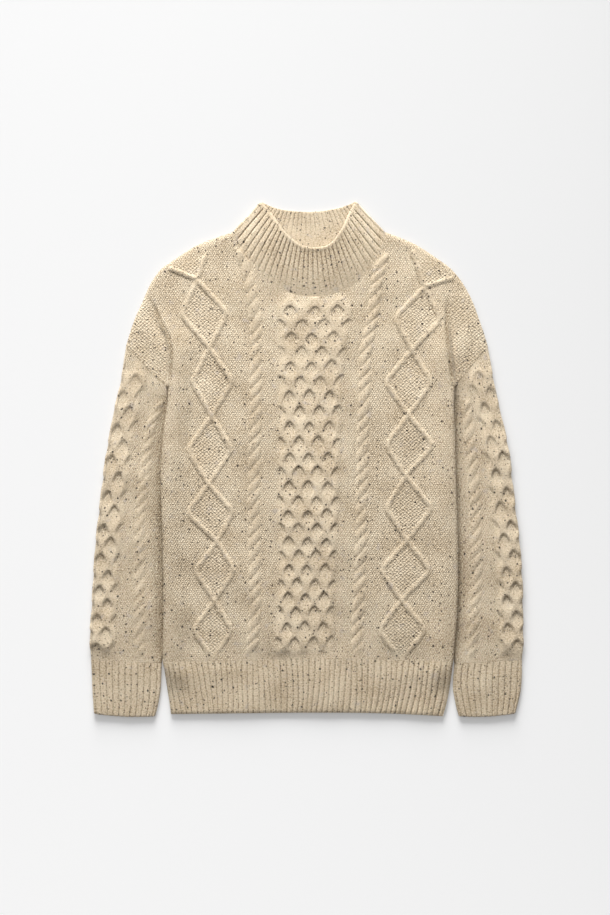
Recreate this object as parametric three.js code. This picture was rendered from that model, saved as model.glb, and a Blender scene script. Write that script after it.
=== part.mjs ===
import * as THREE from 'three';

// A cable knit sweater laid flat on its back, with the sleeves down along its sides.
// Millimetres, +Z up: the neck points to +Y, the front faces +Z and the back rests on z = 0.

// Driving sizes of the cloth
const WALL = 3;
const GAP = 0.3;
const STACK = 2 * WALL + GAP;
const MIDDLE = STACK / 2;
const EDGE_ROUND = 6;
const EDGE_ROW = 2.5;
const EDGE_DROP = 1.8;
const SEAM_DIP = 0.8;
const OUTLINE_STEP = 9;
const FEATURE_MARGIN = 5;
const MIN_SPACING = 1.5;

// The body's sides lie on the sleeves' inner edges, so both layers rise there
const SIDE_RISE = STACK + 0.6;
const RISE_FLAT = 12;
const RISE_END = 40;
const RISE_OUTER = 6;
const RISE_STEP = 24;
const RISE_TOP = { none: 225, full: 150 };
const RISE_BOTTOM = { full: -286, none: -332 };

// Knit relief, as heights over the plain cloth
const CREST = { lattice: 3.2, strand: 2.6, rope: 3.1, ropeDip: 1.3, diamond: 2.3, diamondCross: 2.9 };
const FLOOR = 0.2;

// Plain points between the patterns: how far apart, and how clear of everything else
const HIDDEN_FILL = { step: 90, clear: 50, margin: 30 };
const FRONT_FILL = { step: 26, clear: 15, margin: 12 };
const SLEEVE_FILL = { step: 24, clear: 14, margin: 9 };

// Body outline from the neck down: y, then x at the left and the right
const SHOULDER = [
  { y: 318, left: -104, right: 111 },
  { y: 310, left: -128, right: 132 },
  { y: 299, left: -155, right: 156 },
  { y: 275, left: -192, right: 192 },
  { y: 264, left: -206, right: 205 },
  { y: 245, left: -219, right: 220 },
  { y: 220, left: -230, right: 233 },
  { y: 198, left: -240, right: 241 },
  { y: 178, left: -247, right: 248 },
  { y: 158, left: -253, right: 254 },
];
const ARMHOLE = [
  { y: 158, left: -253, right: 254 },
  { y: 139, left: -233, right: 238 },
  { y: 119, left: -216, right: 222 },
  { y: 101, left: -193, right: 207 },
];
const SIDE = [
  { y: 101, left: -193, right: 207 },
  { y: 73, left: -195, right: 206 },
  { y: 49, left: -199, right: 207 },
  { y: 10, left: -202, right: 208 },
  { y: -29, left: -204, right: 209 },
  { y: -89, left: -202, right: 211 },
  { y: -141, left: -201, right: 212 },
  { y: -205, left: -200, right: 211 },
  { y: -259, left: -201, right: 207 },
  { y: -283, left: -201, right: 205 },
];
const HEM_SIDE = [
  { y: -283, left: -201, right: 205 },
  { y: -300, left: -198, right: 203 },
  { y: -322, left: -195, right: 200 },
  { y: -340, left: -192, right: 196 },
  { y: -357, left: -190, right: 191 },
];
// The line where the front steps down from the body to the sleeve's level
const FOLD = [
  { y: 227, left: -222, right: 199 },
  { y: 206, left: -211, right: 198 },
  { y: 189, left: -204, right: 197 },
  { y: 174, left: -195, right: 198 },
  { y: 153, left: -190, right: 200 },
  { y: 120, left: -191, right: 204 },
  ...SIDE,
  ...HEM_SIDE.slice(1),
];
// Sleeve edges: y, outer x at the left and right, and the inner edge under the body's side
const SLEEVE_OUTER = [
  { y: 158, left: -253, right: 254 },
  { y: 108, left: -260, right: 262 },
  { y: 63, left: -270, right: 272 },
  { y: 19, left: -278, right: 281 },
  { y: -32, left: -285, right: 288 },
  { y: -77, left: -290, right: 293 },
  { y: -121, left: -295, right: 298 },
  { y: -166, left: -298, right: 301 },
  { y: -205, left: -300, right: 302 },
  { y: -245, left: -302, right: 303 },
  { y: -281, left: -302, right: 302 },
];
const SLEEVE_INNER = [
  { y: 100, left: -195, right: 209 },
  { y: 88, left: -193, right: 205 },
  { y: 60, left: -190, right: 200 },
  { y: 10, left: -193, right: 199 },
  { y: -50, left: -194, right: 201 },
  { y: -120, left: -193, right: 203 },
  { y: -190, left: -192, right: 202 },
  { y: -240, left: -194, right: 201 },
  { y: -286, left: -203, right: 207 },
];
// Cuff edges below the sleeve
const CUFF_OUTER = [
  { y: -281, left: -302, right: 302 },
  { y: -300, left: -301, right: 302 },
  { y: -326, left: -300, right: 300 },
  { y: -355, left: -298, right: 293 },
];
const CUFF_INNER = [
  { y: -286, left: -203, right: 207 },
  { y: -317, left: -204, right: 205 },
  { y: -333, left: -206, right: 207 },
  { y: -348, left: -209, right: 210 },
  { y: -359, left: -212, right: 213 },
];
const CUFF_SAG = 5;
// Neck lines from left to right: x, then y of the front's seam and the back's
const NECK_SEAM = [
  { x: -104, y: 318 },
  { x: -96, y: 299 },
  { x: -76, y: 271 },
  { x: -54, y: 250 },
  { x: -23, y: 233 },
  { x: 8, y: 228 },
  { x: 38, y: 232 },
  { x: 64, y: 244 },
  { x: 86, y: 264 },
  { x: 103, y: 289 },
  { x: 111, y: 318 },
];
const BACK_NECK = [
  { x: -104, y: 318 },
  { x: -62, y: 298 },
  { x: 3, y: 284 },
  { x: 66, y: 298 },
  { x: 111, y: 318 },
];
const COLLAR_FRONT_TOP = [
  { x: -66, y: 360 },
  { x: -50, y: 342 },
  { x: -29, y: 315 },
  { x: -8, y: 299 },
  { x: 12, y: 295 },
  { x: 33, y: 300 },
  { x: 49, y: 319 },
  { x: 62, y: 345 },
  { x: 71, y: 360 },
];
const COLLAR_BACK_TOP = [
  { x: -66, y: 360 },
  { x: -40, y: 350 },
  { x: 2, y: 346 },
  { x: 45, y: 351 },
  { x: 71, y: 360 },
];
// The hem's upper and lower line
const HEM_TOP = [
  { x: -201, y: -283 },
  { x: -83, y: -282 },
  { x: 0, y: -278 },
  { x: 88, y: -280 },
  { x: 205, y: -283 },
];
const HEM_BOTTOM = [
  { x: -190, y: -357 },
  { x: 0, y: -355 },
  { x: 110, y: -356 },
  { x: 191, y: -360 },
];

// Honeycomb lattice of crossing ropes down the front's middle: the height of a row of cells,
// the middle of the row and half a cell's width
const LATTICE = { rows: 24, columns: 3, foot: 6.5, cellHalf: 4.5 };
const LATTICE_ROWS = [
  { row: 0, y: 202, x: 10.6, half: 16.5 },
  { row: 2, y: 164, x: 7.9, half: 15.2 },
  { row: 5, y: 102, x: 4.6, half: 14 },
  { row: 10, y: -6, x: 2.8, half: 13.4 },
  { row: 13, y: -66, x: 1.8, half: 13.3 },
  { row: 17, y: -143, x: 1.2, half: 12.4 },
  { row: 20, y: -202, x: -1, half: 12.3 },
  { row: 24, y: -284, x: -3.8, half: 13.1 },
];
// Rope cables beside it
const ROPE = { pitch: 19.6, halfWidth: 8.5, lean: 3.2, rise: 5.4 };
const FRONT_ROPES = [
  [
    { y: 281, x: -91 },
    { y: 251, x: -80 },
    { y: 195, x: -71 },
    { y: 119, x: -71 },
    { y: -57, x: -74 },
    { y: -215, x: -72 },
    { y: -277, x: -78 },
  ],
  [
    { y: 272, x: 105 },
    { y: 251, x: 99 },
    { y: 209, x: 94 },
    { y: 145, x: 82 },
    { y: 27, x: 79 },
    { y: -117, x: 76 },
    { y: -274, x: 70 },
  ],
];
// Columns of diamonds: y and x of each crossing, then the widest points below it
const DIAMONDS = [
  [
    { y: 251, x: -153, wideLeft: -173, wideRight: -113 },
    { y: 156, x: -136, wideLeft: -158, wideRight: -106 },
    { y: 61, x: -133, wideLeft: -164, wideRight: -107 },
    { y: -35, x: -137, wideLeft: -164, wideRight: -105 },
    { y: -115, x: -125, wideLeft: -153, wideRight: -103 },
    { y: -198, x: -129, wideLeft: -156, wideRight: -107 },
    { y: -280, x: -131, wideLeft: -156, wideRight: -107 },
  ],
  [
    { y: 241, x: 165, wideLeft: 126, wideRight: 186 },
    { y: 153, x: 148, wideLeft: 113, wideRight: 173 },
    { y: 62, x: 143, wideLeft: 114, wideRight: 175 },
    { y: -23, x: 139, wideLeft: 114, wideRight: 173 },
    { y: -114, x: 141, wideLeft: 107, wideRight: 171 },
    { y: -197, x: 133, wideLeft: 104, wideRight: 164 },
    { y: -282, x: 132, wideLeft: 104, wideRight: 164 },
  ],
];
// The open half diamonds over the top crossings: the ends of their two strands
const HALF_DIAMONDS = [
  { cross: { x: -153, y: 251 }, ends: [{ x: -192, y: 268 }, { x: -141, y: 286 }] },
  { cross: { x: 165, y: 241 }, ends: [{ x: 205, y: 254 }, { x: 149, y: 292 }] },
];
const STRAND = { step: 12, foot: 5 };
// Sleeves: a lattice along the outer edge and one rope cable
const SLEEVE_LATTICE = {
  top: { left: 119.7, right: 125.2 }, pitch: 22.5, rows: 18, columns: [8.3, 20.8, 33], border: 41, cellHalf: 4,
};
const SLEEVE_ROPE_PITCH = 18.2;
const SLEEVE_ROPES = {
  left: [
    { y: 66, x: -210 },
    { y: 48, x: -218 },
    { y: 13, x: -223 },
    { y: -50, x: -230 },
    { y: -99, x: -234 },
    { y: -277, x: -234 },
  ],
  right: [
    { y: 66, x: 225 },
    { y: 48, x: 227 },
    { y: 5, x: 231 },
    { y: -43, x: 236 },
    { y: -169, x: 238 },
    { y: -277, x: 230 },
  ],
};
// Ribs: their number and depth on each ribbed band
const HEM_RIBS = { count: 52, depth: 1.5 };
const CUFF_RIBS = { count: 11, depth: 1 };
const COLLAR_RIBS = { count: 31, depth: 1.5, lift: 2.4, inside: 24, insideDepth: 0.7 };

const WOOL = { color: 0xd9cbb0, roughness: 0.95, metalness: 0 };

const smooth = (from, to, value) => THREE.MathUtils.smoothstep(value, from, to);
const mix = (a, b, t) => ({ x: a.x + (b.x - a.x) * t, y: a.y + (b.y - a.y) * t });
const distance = (a, b) => Math.hypot(a.x - b.x, a.y - b.y);

// One column of a table as points from its first row to its last
const column = (table, side) => table.map((row) => ({ x: row[side], y: row.y }));

// A column's value at a height, straight between the rows
function valueAt(table, side, y) {
  if (y >= table[0].y) return table[0][side];
  for (let i = 1; i < table.length; i++) {
    if (y >= table[i].y) {
      const t = (table[i - 1].y - y) / (table[i - 1].y - table[i].y);
      return table[i - 1][side] + (table[i][side] - table[i - 1][side]) * t;
    }
  }
  return table.at(-1)[side];
}

// Evenly spaced points on a smooth curve through the given ones
function curve(points, step = OUTLINE_STEP, count = 0) {
  const spline = new THREE.SplineCurve(points.map((p) => new THREE.Vector2(p.x, p.y)));
  spline.arcLengthDivisions = 400;
  const parts = count || Math.max(2, Math.round(spline.getLength() / step));
  return spline.getSpacedPoints(parts).map((p) => ({ x: p.x, y: p.y }));
}

// A path moved sideways to its left by an amount
function shifted(path, amount) {
  return path.map((p, i) => {
    const before = path[Math.max(0, i - 1)];
    const after = path[Math.min(path.length - 1, i + 1)];
    const length = distance(before, after);
    return {
      x: p.x - ((after.y - before.y) / length) * amount,
      y: p.y + ((after.x - before.x) / length) * amount,
    };
  });
}

function distanceToPath(p, path) {
  let best = Infinity;
  for (let i = 1; i < path.length; i++) {
    const a = path[i - 1];
    const b = path[i];
    const length2 = (b.x - a.x) ** 2 + (b.y - a.y) ** 2;
    const t = THREE.MathUtils.clamp(((p.x - a.x) * (b.x - a.x) + (p.y - a.y) * (b.y - a.y)) / length2, 0, 1);
    best = Math.min(best, distance(p, mix(a, b, t)));
  }
  return best;
}

function inside(p, loop) {
  let odd = false;
  for (let i = 0, j = loop.length - 1; i < loop.length; j = i++) {
    const a = loop[i];
    const b = loop[j];
    if (a.y > p.y !== b.y > p.y && p.x < ((b.x - a.x) * (p.y - a.y)) / (b.y - a.y) + a.x) odd = !odd;
  }
  return odd;
}

// Points that may be used inside a loop: clear of it by a margin, and of each other
function usable(points, loop, margin = FEATURE_MARGIN) {
  const closed = [...loop, loop[0]];
  const kept = [];
  for (const p of points) {
    if (!inside(p, loop) || distanceToPath(p, closed) < margin) continue;
    if (kept.every((q) => distance(p, q) > MIN_SPACING)) kept.push(p);
  }
  return kept;
}

// A row of points just inside a loop, opposite the loop's own points
function edgeRow(loop, depth) {
  const closed = [loop.at(-1), ...loop, loop[0]];
  const row = shifted(closed, depth).slice(1, -1);
  return usable(row, loop, depth * 0.8);
}

// Moves a point a hair, so that no four points of a pattern lie on one circle
const nudged = (p) => ({
  ...p,
  x: p.x + 0.01 * Math.sin(p.x * 7.3 + p.y * 5.1),
  y: p.y + 0.01 * Math.cos(p.x * 3.1 - p.y * 4.7),
});

// Delaunay triangles of points, swept in x: [a, b, c] with counter-clockwise corners
function delaunay(points) {
  const far = 1e5;
  const all = [...points, { x: -far, y: -far }, { x: far, y: -far }, { x: 0, y: far }];
  const withCircle = (a, b, c) => {
    const [p, q, r] = [all[a], all[b], all[c]];
    const d = 2 * (p.x * (q.y - r.y) + q.x * (r.y - p.y) + r.x * (p.y - q.y));
    const [p2, q2, r2] = [p, q, r].map((v) => v.x * v.x + v.y * v.y);
    const x = (p2 * (q.y - r.y) + q2 * (r.y - p.y) + r2 * (p.y - q.y)) / d;
    const y = (p2 * (r.x - q.x) + q2 * (p.x - r.x) + r2 * (q.x - p.x)) / d;
    return { corners: d > 0 ? [a, b, c] : [a, c, b], x, y, r2: (p.x - x) ** 2 + (p.y - y) ** 2 };
  };
  const n = points.length;
  const order = points.map((_, i) => i).sort((i, j) => points[i].x - points[j].x);
  let open = [withCircle(n, n + 1, n + 2)];
  const done = [];
  for (const i of order) {
    const p = points[i];
    const rim = new Map();
    const kept = [];
    for (const t of open) {
      const dx = p.x - t.x;
      if (dx > 0 && dx * dx > t.r2) {
        done.push(t);
      } else if (dx * dx + (p.y - t.y) ** 2 > t.r2) {
        kept.push(t);
      } else {
        t.corners.forEach((a, k) => {
          const b = t.corners[(k + 1) % 3];
          const back = `${b},${a}`;
          if (rim.has(back)) rim.delete(back);
          else rim.set(`${a},${b}`, [a, b]);
        });
      }
    }
    open = kept;
    for (const [a, b] of rim.values()) open.push(withCircle(a, b, i));
  }
  return [...done, ...open].map((t) => t.corners).filter((t) => t.every((i) => i < n));
}

// Triangles over a loop and the points inside it; indices run over the loop, then the points
function patch(loop, points) {
  const all = [...loop, ...points.map(nudged)];
  const centre = ([a, b, c]) => ({
    x: (all[a].x + all[b].x + all[c].x) / 3,
    y: (all[a].y + all[b].y + all[c].y) / 3,
  });
  const triangles = delaunay(all).filter((t) => inside(centre(t), loop));
  const edges = new Set(triangles.flatMap(([a, b, c]) => [`${a},${b}`, `${b},${c}`, `${c},${a}`]));
  loop.forEach((p, i) => {
    if (!edges.has(`${i},${(i + 1) % loop.length}`)) {
      throw new Error(`outline edge lost at ${p.x.toFixed(1)}, ${p.y.toFixed(1)}`);
    }
  });
  return { points: all, triangles };
}

// A mesh from vertices [x, y, z] and triangles
function solid(name, vertices, triangles) {
  const geometry = new THREE.BufferGeometry();
  geometry.setAttribute('position', new THREE.Float32BufferAttribute(vertices.flat(), 3));
  geometry.setIndex(triangles.flat());
  geometry.computeVertexNormals();
  const mesh = new THREE.Mesh(geometry, new THREE.MeshStandardMaterial(WOOL));
  mesh.name = name;
  return mesh;
}

// A wall of cloth over a loop: raised points on top, plain points beneath
function panel(name, loop, topPoints, bottomPoints, zTop, zBottom) {
  const top = patch(loop, topPoints);
  const bottom = patch(loop, bottomPoints);
  const first = top.points.length;
  const vertices = [
    ...top.points.map((p) => [p.x, p.y, zTop(p)]),
    ...bottom.points.map((p) => [p.x, p.y, zBottom(p)]),
  ];
  const triangles = [
    ...top.triangles,
    ...bottom.triangles.map(([a, b, c]) => [first + a, first + c, first + b]),
  ];
  loop.forEach((_, i) => {
    const j = (i + 1) % loop.length;
    triangles.push([i, first + i, first + j], [i, first + j, j]);
  });
  return solid(name, vertices, triangles);
}

// A flattened tube of cloth, open at both ends. Each of its two layers has a start and an
// end line from the left fold to the right one; the folds run from start to end.
function tube(name, folds, upper, lower, heights) {
  const ring = (left, right, start, end) => [
    ...start,
    ...right.slice(1, -1),
    ...end.slice().reverse(),
    ...left.slice(1, -1).reverse(),
  ];
  const innerLeft = shifted(folds.left, -WALL);
  const innerRight = shifted(folds.right, WALL);
  // An end line squeezed between the inner folds
  const squeezed = (line, from, to) => line.map((p, i) => {
    const t = i / (line.length - 1);
    const move = {
      x: (from.x - line[0].x) * (1 - t) + (to.x - line.at(-1).x) * t,
      y: (from.y - line[0].y) * (1 - t) + (to.y - line.at(-1).y) * t,
    };
    return { ...p, x: p.x + move.x, y: p.y + move.y };
  });
  const alongEnd = (a, b) => mix(a, b, WALL / distance(a, b));
  const layers = [upper, lower].map((layer) => {
    const left = innerLeft.slice();
    const right = innerRight.slice();
    left[0] = alongEnd(folds.left[0], folds.right[0]);
    right[0] = alongEnd(folds.right[0], folds.left[0]);
    left[left.length - 1] = alongEnd(folds.left.at(-1), folds.right.at(-1));
    right[right.length - 1] = alongEnd(folds.right.at(-1), folds.left.at(-1));
    return {
      outer: ring(folds.left, folds.right, layer.start, layer.end),
      inner: ring(left, right, squeezed(layer.start, left[0], right[0]),
        squeezed(layer.end, left.at(-1), right.at(-1))),
      // The places in the ring that belong to the folds, where the layers meet
      fold: [
        0,
        ...folds.right.map((_, i) => layer.start.length - 1 + i),
        ...folds.left.slice(0, -1).map((_, i) => layer.start.length + folds.right.length - 2
          + layer.end.length - 1 + i),
      ],
    };
  });
  const vertices = [];
  const triangles = [];
  const shared = {};
  const add = (loop, foldPlaces, points, height, foldHeight, up, kind) => {
    const made = patch(loop, points);
    const foldOrder = new Map(foldPlaces.map((place, i) => [place, i]));
    const index = made.points.map((p, i) => {
      if (!foldOrder.has(i)) return vertices.push([p.x, p.y, height(p)]) - 1;
      const key = `${kind} ${foldOrder.get(i)}`;
      shared[key] ??= vertices.push([p.x, p.y, foldHeight]) - 1;
      return shared[key];
    });
    for (const [a, b, c] of made.triangles) {
      triangles.push(up ? [index[a], index[b], index[c]] : [index[a], index[c], index[b]]);
    }
    return index;
  };
  const [high, low] = layers;
  const rings = {
    highOuter: add(high.outer, high.fold, upper.points, heights.upperOuter, MIDDLE, true, 'outer'),
    highInner: add(high.inner, high.fold, upper.innerPoints ?? [], heights.upperInner, MIDDLE, false, 'inner'),
    lowOuter: add(low.outer, low.fold, lower.points, heights.lowerOuter, MIDDLE, false, 'outer'),
    lowInner: add(low.inner, low.fold, lower.innerPoints ?? [], heights.lowerInner, MIDDLE, true, 'inner'),
  };
  // The cloth's cut edge along both ends of both layers
  const closeEnds = (outer, inner, layer, up) => {
    const startLast = layer.start.length - 1;
    const endFirst = startLast + folds.right.length - 1;
    const spans = [[0, startLast], [endFirst, endFirst + layer.end.length - 1]];
    for (const [from, to] of spans) {
      for (let i = from; i < to; i++) {
        const quad = [outer[i], inner[i], inner[i + 1], outer[i + 1]];
        if (!up) quad.reverse();
        triangles.push([quad[0], quad[1], quad[2]], [quad[0], quad[2], quad[3]]);
      }
    }
  };
  closeEnds(rings.highOuter, rings.highInner, upper, true);
  closeEnds(rings.lowOuter, rings.lowInner, lower, false);
  return solid(name, vertices, triangles);
}

// How far both body layers rise over a sleeve's inner edge
function rise(p) {
  const side = p.x < 0 ? 'left' : 'right';
  const depth = Math.abs(valueAt(FOLD, side, p.y)) - Math.abs(p.x);
  const across = depth < 0 ? 1 - smooth(0, RISE_OUTER, -depth) : 1 - smooth(RISE_FLAT, RISE_END, depth);
  const along = (1 - smooth(RISE_TOP.full, RISE_TOP.none, p.y)) * smooth(RISE_BOTTOM.none, RISE_BOTTOM.full, p.y);
  return SIDE_RISE * across * along;
}

// The drop of a rounded edge at a distance from it
const roundDrop = (away, drop) => {
  const t = 1 - Math.min(1, away / EDGE_ROUND);
  return drop * (1 - Math.sqrt(1 - t * t));
};

// The body's edges, as paths from the neck down
const SIDES = ['left', 'right'];
const shoulder = Object.fromEntries(SIDES.map((side) => [side, curve(column(SHOULDER, side))]));
const armhole = Object.fromEntries(SIDES.map((side) => [side, curve(column(ARMHOLE, side))]));
const sideEdge = Object.fromEntries(SIDES.map((side) => [side, curve(column(SIDE, side), 12)]));
const hemSide = Object.fromEntries(SIDES.map((side) => [side, curve(column(HEM_SIDE, side), 15)]));
const roundedEdges = SIDES.flatMap((side) => [shoulder[side], [...sideEdge[side], ...hemSide[side].slice(1)]]);
const seams = [curve(NECK_SEAM), armhole.left, armhole.right, curve(HEM_TOP)];

const edgeDistance = (p) => Math.min(...roundedEdges.map((path) => distanceToPath(p, path)));
const seamDip = (p) => SEAM_DIP * (1 - smooth(0, 6, Math.min(...seams.map((path) => distanceToPath(p, path)))));

const frontTop = (p) => rise(p) + STACK - roundDrop(edgeDistance(p), EDGE_DROP) - seamDip(p) + (p.h ?? 0);
const frontUnder = (p) => rise(p) + WALL + GAP;
const backTop = (p) => rise(p) + WALL;
const backUnder = (p) => rise(p) + roundDrop(edgeDistance(p), EDGE_DROP);

// The body's loop, counter-clockwise from the left end of a neck line
function bodyLoop(neck) {
  const ends = (path) => path.slice(1);
  return [
    ...neck.slice().reverse(),
    ...ends(shoulder.left),
    ...ends(armhole.left),
    ...ends(sideEdge.left),
    ...ends(curve(HEM_TOP)),
    ...ends(sideEdge.right.slice().reverse()),
    ...ends(armhole.right.slice().reverse()),
    ...ends(shoulder.right.slice().reverse()).slice(0, -1),
  ];
}

// Rows of points along both sides, where the layers rise and fall
function risePoints() {
  const points = [];
  for (const side of SIDES) {
    for (let y = RISE_TOP.none; y > HEM_SIDE.at(-1).y; y -= RISE_STEP) {
      const edge = Math.abs(valueAt(FOLD, side, y));
      const sign = side === 'left' ? -1 : 1;
      const aboveArmhole = y > SIDE[0].y;
      const depths = aboveArmhole
        ? [-RISE_OUTER, 1, RISE_FLAT, RISE_END]
        : [RISE_FLAT, (RISE_FLAT + RISE_END) / 2, RISE_END];
      for (const depth of depths) points.push({ x: sign * (edge - depth), y });
    }
  }
  return points;
}

// The height, middle and half cell of a lattice row, straight between the table's rows
function latticeRow(row) {
  const i = Math.max(1, LATTICE_ROWS.findIndex((entry) => entry.row >= row));
  const [a, b] = [LATTICE_ROWS[i - 1], LATTICE_ROWS[i]];
  const t = (row - a.row) / (b.row - a.row);
  return { ...mix(a, b, t), half: a.half + (b.half - a.half) * t };
}

// The honeycomb lattice: rope crossings, the ropes between them and the hollow cells
function latticePoints() {
  const points = [];
  const { rows, columns, foot, cellHalf } = LATTICE;
  for (let row = -1; row < rows; row++) {
    const { x: axis, y, half } = latticeRow(row);
    const between = latticeRow(row + 0.5);
    for (let k = -columns; k <= columns; k++) {
      const x = axis + k * half;
      const cell = (k + row) % 2 === 0;
      if (cell && Math.abs(k) === columns) points.push({ x, y, h: FLOOR });
      else if (cell) points.push({ x, y: y + cellHalf, h: FLOOR }, { x, y: y - cellHalf, h: FLOOR });
      else points.push({ x, y, h: CREST.lattice });
      if (k < columns) points.push({ x: between.x + (k + 0.5) * between.half, y: between.y, h: CREST.strand });
    }
    const border = columns * half + foot;
    for (const sign of [-1, 1]) points.push({ x: axis + sign * border, y: between.y, h: FLOOR });
  }
  return points;
}

// A rope cable down a path: leaning lobes with a dip between them
function ropePoints(path, pitch = ROPE.pitch) {
  const points = [];
  const { halfWidth, lean, rise: up } = ROPE;
  for (let y = path[0].y; y > path.at(-1).y; y -= pitch) {
    const x = valueAt(path, 'x', y);
    points.push({ x: x + lean, y: y + up, h: CREST.rope }, { x: x - lean, y: y - up, h: CREST.rope });
    points.push({ x: x - lean, y: y + up, h: CREST.ropeDip }, { x: x + lean, y: y - up, h: CREST.ropeDip });
    points.push({ x: x - halfWidth, y, h: 0 }, { x: x + halfWidth, y, h: 0 });
  }
  return points;
}

// A raised strand between two points, with its feet
function strandPoints(from, to, crest = CREST.diamond) {
  const points = [];
  const length = distance(from, to);
  const parts = Math.max(2, Math.round(length / STRAND.step));
  const across = { x: -(to.y - from.y) / length, y: (to.x - from.x) / length };
  for (let i = 0; i <= parts; i++) {
    const p = mix(from, to, i / parts);
    points.push({ ...p, h: crest });
    for (const sign of [-1, 1]) {
      const foot = { x: p.x + sign * across.x * STRAND.foot, y: p.y + sign * across.y * STRAND.foot };
      points.push({ ...foot, h: FLOOR, isFoot: true });
    }
  }
  return points;
}

// A column of diamonds, drawn by two strands that part and cross
function diamondPoints(table) {
  const points = [];
  for (let i = 1; i < table.length; i++) {
    const upper = table[i - 1];
    const below = table[i];
    const y = (upper.y + below.y) / 2;
    points.push({ x: upper.x, y: upper.y, h: CREST.diamondCross });
    for (const x of [upper.wideLeft, upper.wideRight]) {
      points.push(...strandPoints(upper, { x, y }), ...strandPoints({ x, y }, below));
    }
  }
  return points;
}

// Crests are placed before feet, so that a foot never takes a crest's place
const crestsFirst = (points) => [...points.filter((p) => !p.isFoot), ...points.filter((p) => p.isFoot)];

// A sparse grid of plain points where nothing else is near
function fillers({ step, clear }, others) {
  const points = [];
  const [halfWidth, halfHeight] = [300, 350];
  for (let x = -halfWidth; x <= halfWidth; x += step) {
    for (let y = -halfHeight; y <= halfHeight; y += step) {
      const p = { x: x + ((y / step) % 2) * 0.5 * step, y };
      if (others.every((q) => distance(p, q) > clear)) points.push(p);
    }
  }
  return points;
}

// The plain points of a body layer's hidden side: both layers have the same, so they nest
function layerPoints(loop, rowDepth) {
  const bends = [...edgeRow(loop, rowDepth), ...usable(risePoints(), loop, rowDepth + EDGE_ROW)];
  return [...bends, ...usable(fillers(HIDDEN_FILL, bends), loop, HIDDEN_FILL.margin)];
}

function makeFront() {
  const loop = bodyLoop(curve(NECK_SEAM));
  const strands = HALF_DIAMONDS.flatMap(({ cross, ends }) => ends.flatMap((end) => strandPoints(cross, end)));
  const pattern = crestsFirst([
    ...latticePoints(),
    ...FRONT_ROPES.flatMap((path) => ropePoints(path)),
    ...DIAMONDS.flatMap(diamondPoints),
    ...strands,
  ]);
  const row = edgeRow(loop, EDGE_ROW);
  const features = usable([...pattern, ...risePoints()], loop);
  const top = [...row, ...features, ...usable(fillers(FRONT_FILL, features), loop, FRONT_FILL.margin)];
  return panel('front', loop, top, layerPoints(loop, EDGE_ROW), frontTop, frontUnder);
}

function makeBack() {
  const loop = bodyLoop(curve(BACK_NECK));
  return panel('back', loop, layerPoints(loop, EDGE_ROW), layerPoints(loop, EDGE_ROUND), backTop, backUnder);
}

// The height of a rib's crest or groove at a place across a band
const ribWave = (i, depth) => (i % 2 ? depth : 0);

// A line of points across a band, each with its rib height
const ribLine = (line, depth) => line.map((p, i) => ({ ...p, h: ribWave(i, depth) }));

// Lines between two others, from the first towards the second
function between(first, second, fractions) {
  return fractions.map((t) => first.map((p, i) => ({ ...mix(p, second[i], t), h: p.h })));
}

function makeHem(name, isFront) {
  const upperLine = shifted(curve(HEM_TOP, 0, 2 * HEM_RIBS.count), -GAP);
  const lowerLine = curve(HEM_BOTTOM, 0, 2 * HEM_RIBS.count);
  const depth = isFront ? HEM_RIBS.depth : 0;
  const high = ribLine(upperLine, depth * 0.6);
  const low = ribLine(lowerLine, depth * 0.6);
  const loop = [
    ...low,
    ...hemSide.right.slice(1, -1).reverse(),
    ...high.slice().reverse(),
    ...hemSide.left.slice(1, -1),
  ];
  const inner = between(ribLine(upperLine, depth), low, [0.2, 0.5, 0.8])
    .flatMap((line) => line.slice(1, -1).map((p, i) => ({ ...p, h: ribWave(i + 1, depth) })));
  const coarse = between(high, low, [0.1, 0.5, 0.9])
    .flatMap((line) => line.filter((_, i) => i % 8 === 4 || i === 2 || i === line.length - 3));
  const ribbed = (p) => rise(p) + STACK - roundDrop(edgeDistance(p), EDGE_DROP) + (p.h ?? 0) - HEM_RIBS.depth * 0.5;
  const coarseInside = usable(coarse.map((p) => ({ x: p.x, y: p.y })), loop, 3);
  return isFront
    ? panel(name, loop, inner, coarseInside, ribbed, frontUnder)
    : panel(name, loop, coarseInside, coarseInside, backTop, backUnder);
}

// The four heights of a flattened tube that lies on the floor
function tubeHeights(folds, relief) {
  const away = (p) => Math.min(distanceToPath(p, folds.left), distanceToPath(p, folds.right));
  return {
    upperOuter: (p) => STACK - roundDrop(away(p), MIDDLE) + relief(p),
    upperInner: () => MIDDLE + GAP / 2,
    lowerInner: () => MIDDLE - GAP / 2,
    lowerOuter: (p) => roundDrop(away(p), MIDDLE),
  };
}

// Rows inside both folds of a tube, where its edge turns under
const foldRows = (folds, depths) => depths.flatMap((depth) => [
  ...shifted(folds.left, -depth).slice(1, -1),
  ...shifted(folds.right, depth).slice(1, -1),
]);

// The sleeve's knit pattern on one side
function sleevePattern(side) {
  const points = [];
  const sign = side === 'left' ? -1 : 1;
  const { top, pitch, rows, columns, border, cellHalf } = SLEEVE_LATTICE;
  for (let row = 0; row < rows; row++) {
    const y = top[side] - row * pitch;
    const edge = Math.abs(valueAt(SLEEVE_OUTER, side, y));
    columns.forEach((inset, k) => {
      const cell = (k + row) % 2 === 0;
      const x = sign * (edge - inset);
      if (cell && k < 2) points.push({ x, y: y + cellHalf, h: FLOOR }, { x, y: y - cellHalf, h: FLOOR });
      else points.push({ x, y, h: cell ? FLOOR : CREST.lattice });
      const next = columns[k + 1] ?? inset;
      if (next > inset) {
        points.push({ x: sign * (edge - (inset + next) / 2), y: y - pitch / 2, h: CREST.strand });
      }
    });
    points.push({ x: sign * (edge - border), y: y - pitch / 2, h: 0 });
  }
  return [...points, ...ropePoints(SLEEVE_ROPES[side], SLEEVE_ROPE_PITCH)];
}

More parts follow.
